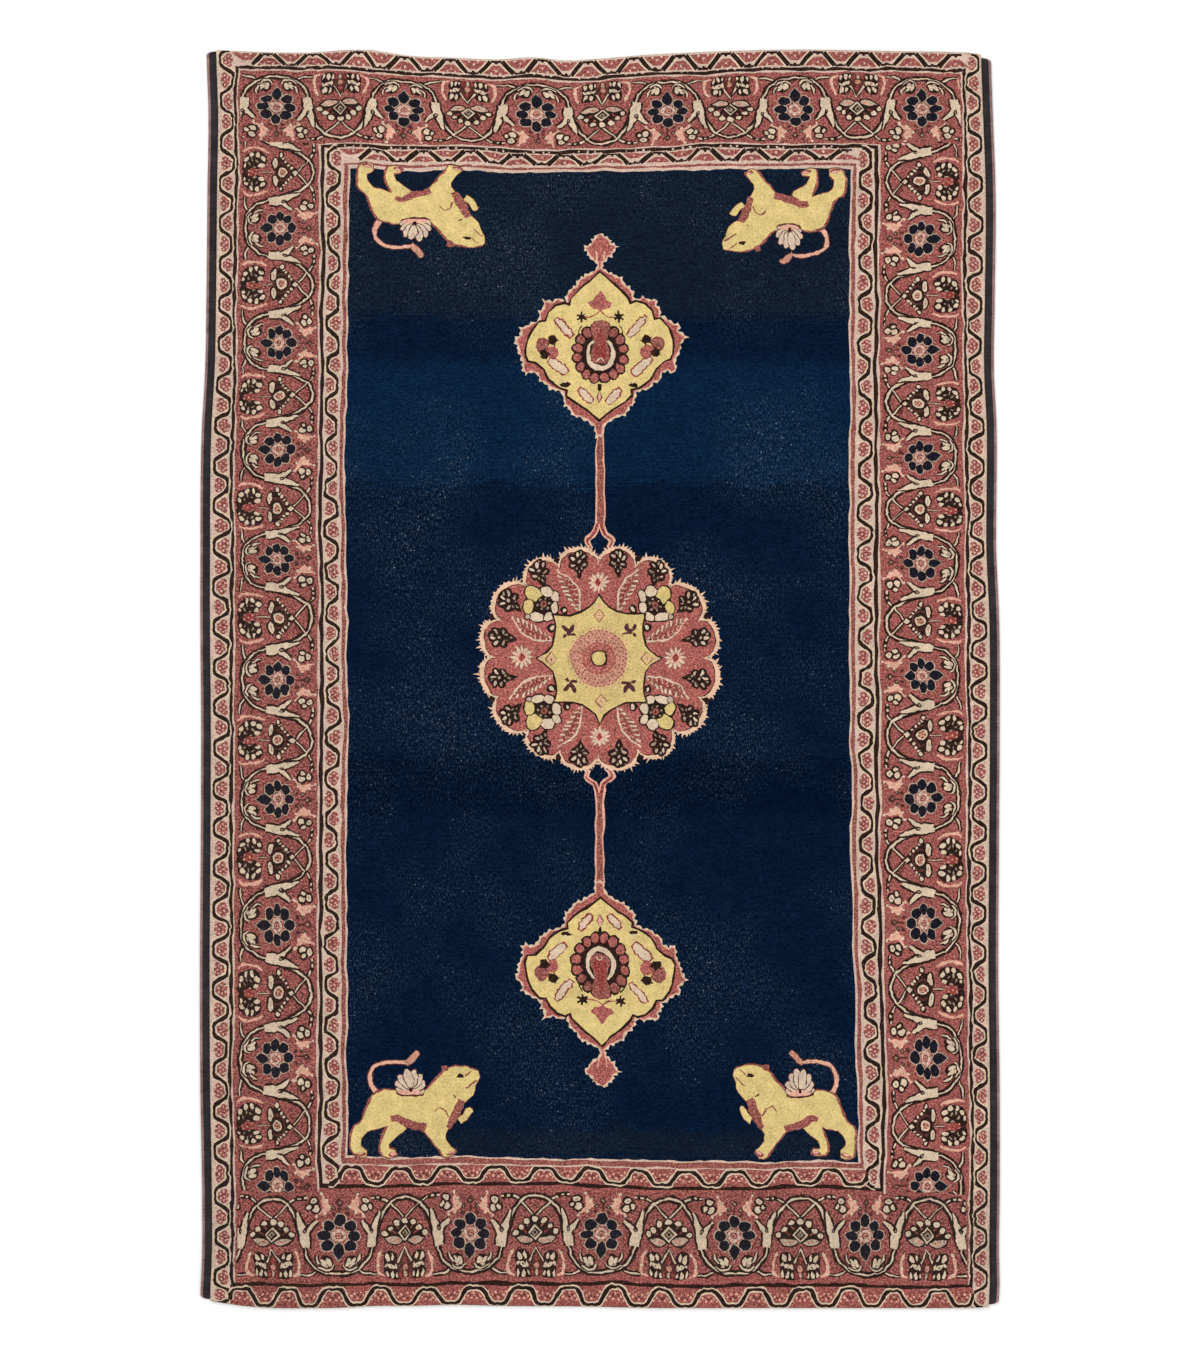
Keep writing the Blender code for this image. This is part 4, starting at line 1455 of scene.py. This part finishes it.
def back_material():
    """The back: the knots' nodes in rows, with the weft between them."""
    n = Nodes("knotted back", Roughness=0.95, Specular_IOR_Level=0.2)
    place = n.place()
    dye = n.attribute("dye", "Color")
    knots = n.add("VectorMath", {"operation": "SCALE"}, i0=place, Scale=1 / KNOT)
    split = n.add("SeparateXYZ", Vector=knots).node
    waves = [n.math("ABSOLUTE", n.math("SINE", n.times(split.outputs[axis], math.pi))) for axis in "XY"]
    bead = n.times(n.math("POWER", waves[0], 0.5), n.math("POWER", waves[1], 0.7))
    fuzz = n.noise(place, 800.0, kind="3D")
    shade = n.ramp(n.scaled(fuzz, 0.4, n.times(bead, 0.7)), ((0.1, 0.0), (0.7, 1.0)))
    weft = n.mix("MIX", 0.62, dye, (0.36, 0.28, 0.21, 1.0))
    dull = n.mix("MIX", 0.14, dye, (0.36, 0.30, 0.25, 1.0))
    return n.finish(n.mix("MIX", shade, weft, dull), Strength=0.6, Distance=0.0006, Height=bead)


def wrap_material(name, dark, light):
    """Wool wound round a cord, with fine strands across. Its two shades are sRGB values."""
    n = Nodes(name, Roughness=0.9, Sheen_Weight=0.02, Specular_IOR_Level=0.1)
    place = n.place()
    strands = n.noise(place, (70.0, 900.0, 70.0), 3.0, "3D")
    patches = n.noise(place, 45.0, 3.0, "3D")
    share = n.math("ADD", n.times(strands, 0.55), n.times(patches, 0.5))
    colour = n.ramp(share, ((0.36, linear(dark)), (0.66, linear(light))))
    return n.finish(colour, Strength=0.5, Distance=0.0004, Height=strands)


# == Edges and ends ==

WRAP_PITCH = 0.0026        # one turn of the overcast wool
WRAP_STEPS = 3             # rings of vertices in a turn
EDGE_SIDES = 12            # points round an overcast edge
RIM_SHARE = 0.62           # the outer strand starts at this share of the edge's width
CORD_RADIUS = 0.0012       # the cord of last wefts at an end
CORD_HEIGHT = 0.0016       # its middle above the floor
CORD_SIDES = 6
CORD_PITCH = 0.0052        # one twist
CORD_STEP = 0.0011         # from ring to ring
CORD_GAP = 0.0002          # its middle lies this far out from the rim


def node_span(node):
    """An overcast edge's places along the rug, with its inner and outer side and top there."""
    points = points_of(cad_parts[node])
    along = np.round(points[:, 1], 5)
    places = np.unique(along)
    rows = [points[along == place] for place in places]
    low = np.array([row[:, 0].min() for row in rows])
    high = np.array([row[:, 0].max() for row in rows])
    top = np.array([row[:, 2].max() for row in rows])
    inner, outer = (high, low) if node.endswith("left") else (low, high)
    return places, inner, outer, top


def tube(name, rings, materials, slots):
    """A closed tube through rings of points, with a material number for each strip along it."""
    count, sides = rings.shape[:2]
    index = np.arange(count * sides).reshape(count, sides)
    ahead = np.roll(index, -1, axis=1)
    quads = np.stack((index[:-1], ahead[:-1], ahead[1:], index[1:]), axis=-1).reshape(-1, 4)
    ends = [index[0][::-1].tolist(), index[-1].tolist()]
    mesh = bpy.data.meshes.new(name)
    mesh.from_pydata(rings.reshape(-1, 3).tolist(), [], quads.tolist() + ends)
    for material in materials:
        mesh.materials.append(material)
    mesh.polygons.foreach_set("material_index", np.r_[np.tile(slots, count - 1), 0, 0].astype(np.int32))
    mesh.shade_smooth()
    return linked(name, mesh)


def overcast_edge(side, materials):
    """One long side's cord, wound with dark wool, with a paler strand along its outside."""
    places, inner, outer, top = node_span(f"selvedge_{side}")
    steps = int((places[-1] - places[0]) / WRAP_PITCH * WRAP_STEPS)
    along = np.linspace(places[0], places[-1], steps)
    near, far, high = (np.interp(along, places, values) for values in (inner, outer, top))
    angle = 2 * np.pi * (np.arange(EDGE_SIDES) + 0.5) / EDGE_SIDES
    across = 0.5 + 0.5 * np.sign(np.cos(angle)) * np.abs(np.cos(angle)) ** 0.6
    up = np.clip(0.46 + 0.54 * np.sign(np.sin(angle)) * np.abs(np.sin(angle)) ** 0.75, 0, 1)
    rings = []
    for k, turns in enumerate(along / WRAP_PITCH):
        ridge = np.abs(np.sin(np.pi * (turns + 0.9 * across + 0.06 * np.sin(turns * 0.7))))
        groove = 0.075 * (1 - ridge)
        groove += 0.05 * np.exp(-((across - RIM_SHARE) / 0.05) ** 2)
        x = near[k] + (far[k] - near[k]) * (0.5 + (across - 0.5) * (1 - groove))
        z = high[k] * np.where(up > 0.02, 0.03 + (up - 0.03) * (1 - groove), 0.0)
        rings.append(np.column_stack((x, np.full(EDGE_SIDES, along[k]), z)))
    rings = np.array(rings)
    if side == "right":
        rings, across = rings[:, ::-1], across[::-1]
    slots = ((across + np.roll(across, -1)) / 2 > RIM_SHARE).astype(int)
    return tube(f"overcast_{side}", rings, materials, slots)


def end_cord(end, material):
    """The last wefts at an end, twisted into a thin cord against the pile."""
    sign, edge = {"far": (1, END_EDGES[1]), "near": (-1, END_EDGES[0])}[end]
    across, level = (values * KNOT for values in edge)
    steps = int((across[-1] - across[0]) / CORD_STEP)
    x = np.linspace(across[0] + CORD_RADIUS, across[-1] - CORD_RADIUS, steps)
    y = np.interp(x, across, level) + sign * CORD_GAP
    angle = 2 * np.pi * np.arange(CORD_SIDES) / CORD_SIDES
    rings = []
    for k in range(steps):
        twist = 2 * np.pi * x[k] / CORD_PITCH
        taper = min(1.0, 0.2 + 0.4 * min(k, steps - 1 - k))
        bulge = taper * (CORD_RADIUS * (0.82 + 0.18 * np.cos(2 * (angle - twist))))
        rings.append(np.column_stack((np.full(CORD_SIDES, x[k]), y[k] + bulge * np.cos(angle),
                                      CORD_HEIGHT + bulge * np.sin(angle))))
    return tube(f"end_cord_{end}", np.array(rings), [material], np.zeros(CORD_SIDES, int))


# == Making the rug ==

def make_rug():
    """All pieces of the rug, told apart by where they lie."""
    chart = whole_chart()
    corners, faces = triangulate(chart)
    centres = corners[faces].mean(axis=1)
    dyes = dye_faces(chart, centres)
    half, far, near = FIELD
    x, y = centres.T
    level = (y < far) & (y > near)
    in_field = level & (np.abs(x) < half)
    regions = {
        "pile_field": in_field,
        "pile_border_far": y >= far,
        "pile_border_near": y <= near,
        "pile_border_left": level & ~in_field & (x < 0),
        "pile_border_right": level & ~in_field & (x > 0),
    }
    materials = [pile_material(), back_material()]
    return {name: cloth_piece(name, corners, faces[pick], dyes[pick], materials)
            for name, pick in regions.items()}


pieces = make_rug()
for piece in pieces.values():
    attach(piece, "root")
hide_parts("rug_body")

wraps = [wrap_material("dark overcast wool", (30, 28, 31), (54, 49, 51)),
         wrap_material("mauve overcast wool", (104, 78, 76), (162, 130, 124))]
for side in ("left", "right"):
    edge = overcast_edge(side, wraps)
    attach(edge, "root")
    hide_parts(f"selvedge_{side}")
ends = wrap_material("end wefts", (120, 100, 84), (196, 178, 156))
for end in ("far", "near"):
    cord = end_cord(end, ends)
    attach(cord, "root")

# == Floor, light and camera ==

IMAGE = (1200, 1359)       # the photograph's frame, in pixels
RUG_MIDDLE = (599.75, 679.0)
CAMERA_HEIGHT = 6.0
SENSOR = 36.0
FLOOR_REACH = 6.0
FLOOR_LEVEL = -0.0003
LAMPS = (("key", (-1.6, 2.2, 4.2), 3.0, 112), ("fill", (2.0, -1.6, 4.4), 3.4, 68))
STUDIO_STRENGTH = 0.60


def make_floor():
    """A wide pale floor."""
    mesh = bpy.data.meshes.new("floor")
    corners = rectangle(-FLOOR_REACH, -FLOOR_REACH, FLOOR_REACH, FLOOR_REACH)
    mesh.from_pydata([(x, y, FLOOR_LEVEL) for x, y in corners], [], [(0, 1, 2, 3)])
    n = Nodes("pale floor", Base_Color=grey(0.97), Roughness=0.9, Specular_IOR_Level=0.05)
    mesh.materials.append(n.material)
    floor = linked("floor", mesh)


def add_light(name, place, size, power):
    """A soft square lamp that looks at the rug's middle."""
    data = bpy.data.lights.new(name, "AREA")
    data.size = size
    data.energy = power
    lamp = linked(name, data)
    lamp.location = place
    lamp.rotation_euler = (-lamp.location).to_track_quat("-Z", "Y").to_euler()


def add_studio():
    """Plain white light from all sides."""
    world = bpy.data.worlds.new("studio")
    world.use_nodes = True
    background = world.node_tree.nodes["Background"].inputs
    background["Color"].default_value = grey(1.0)
    background["Strength"].default_value = STUDIO_STRENGTH
    bpy.context.scene.world = world
    bpy.context.scene.view_settings.view_transform = "Standard"


def add_camera():
    """Straight above, framed like the photograph."""
    data = bpy.data.cameras.new("camera")
    data.sensor_fit = "VERTICAL"
    data.sensor_height = SENSOR
    data.lens = SENSOR * (CAMERA_HEIGHT - THICKNESS) / (IMAGE[1] * KNOT)
    camera = linked("camera", data)
    x = (IMAGE[0] / 2 - RUG_MIDDLE[0]) * KNOT
    y = (RUG_MIDDLE[1] - IMAGE[1] / 2) * KNOT
    camera.location = (x, y, CAMERA_HEIGHT)
    bpy.context.scene.camera = camera


make_floor()
for lamp in LAMPS:
    add_light(*lamp)
add_studio()
add_camera()
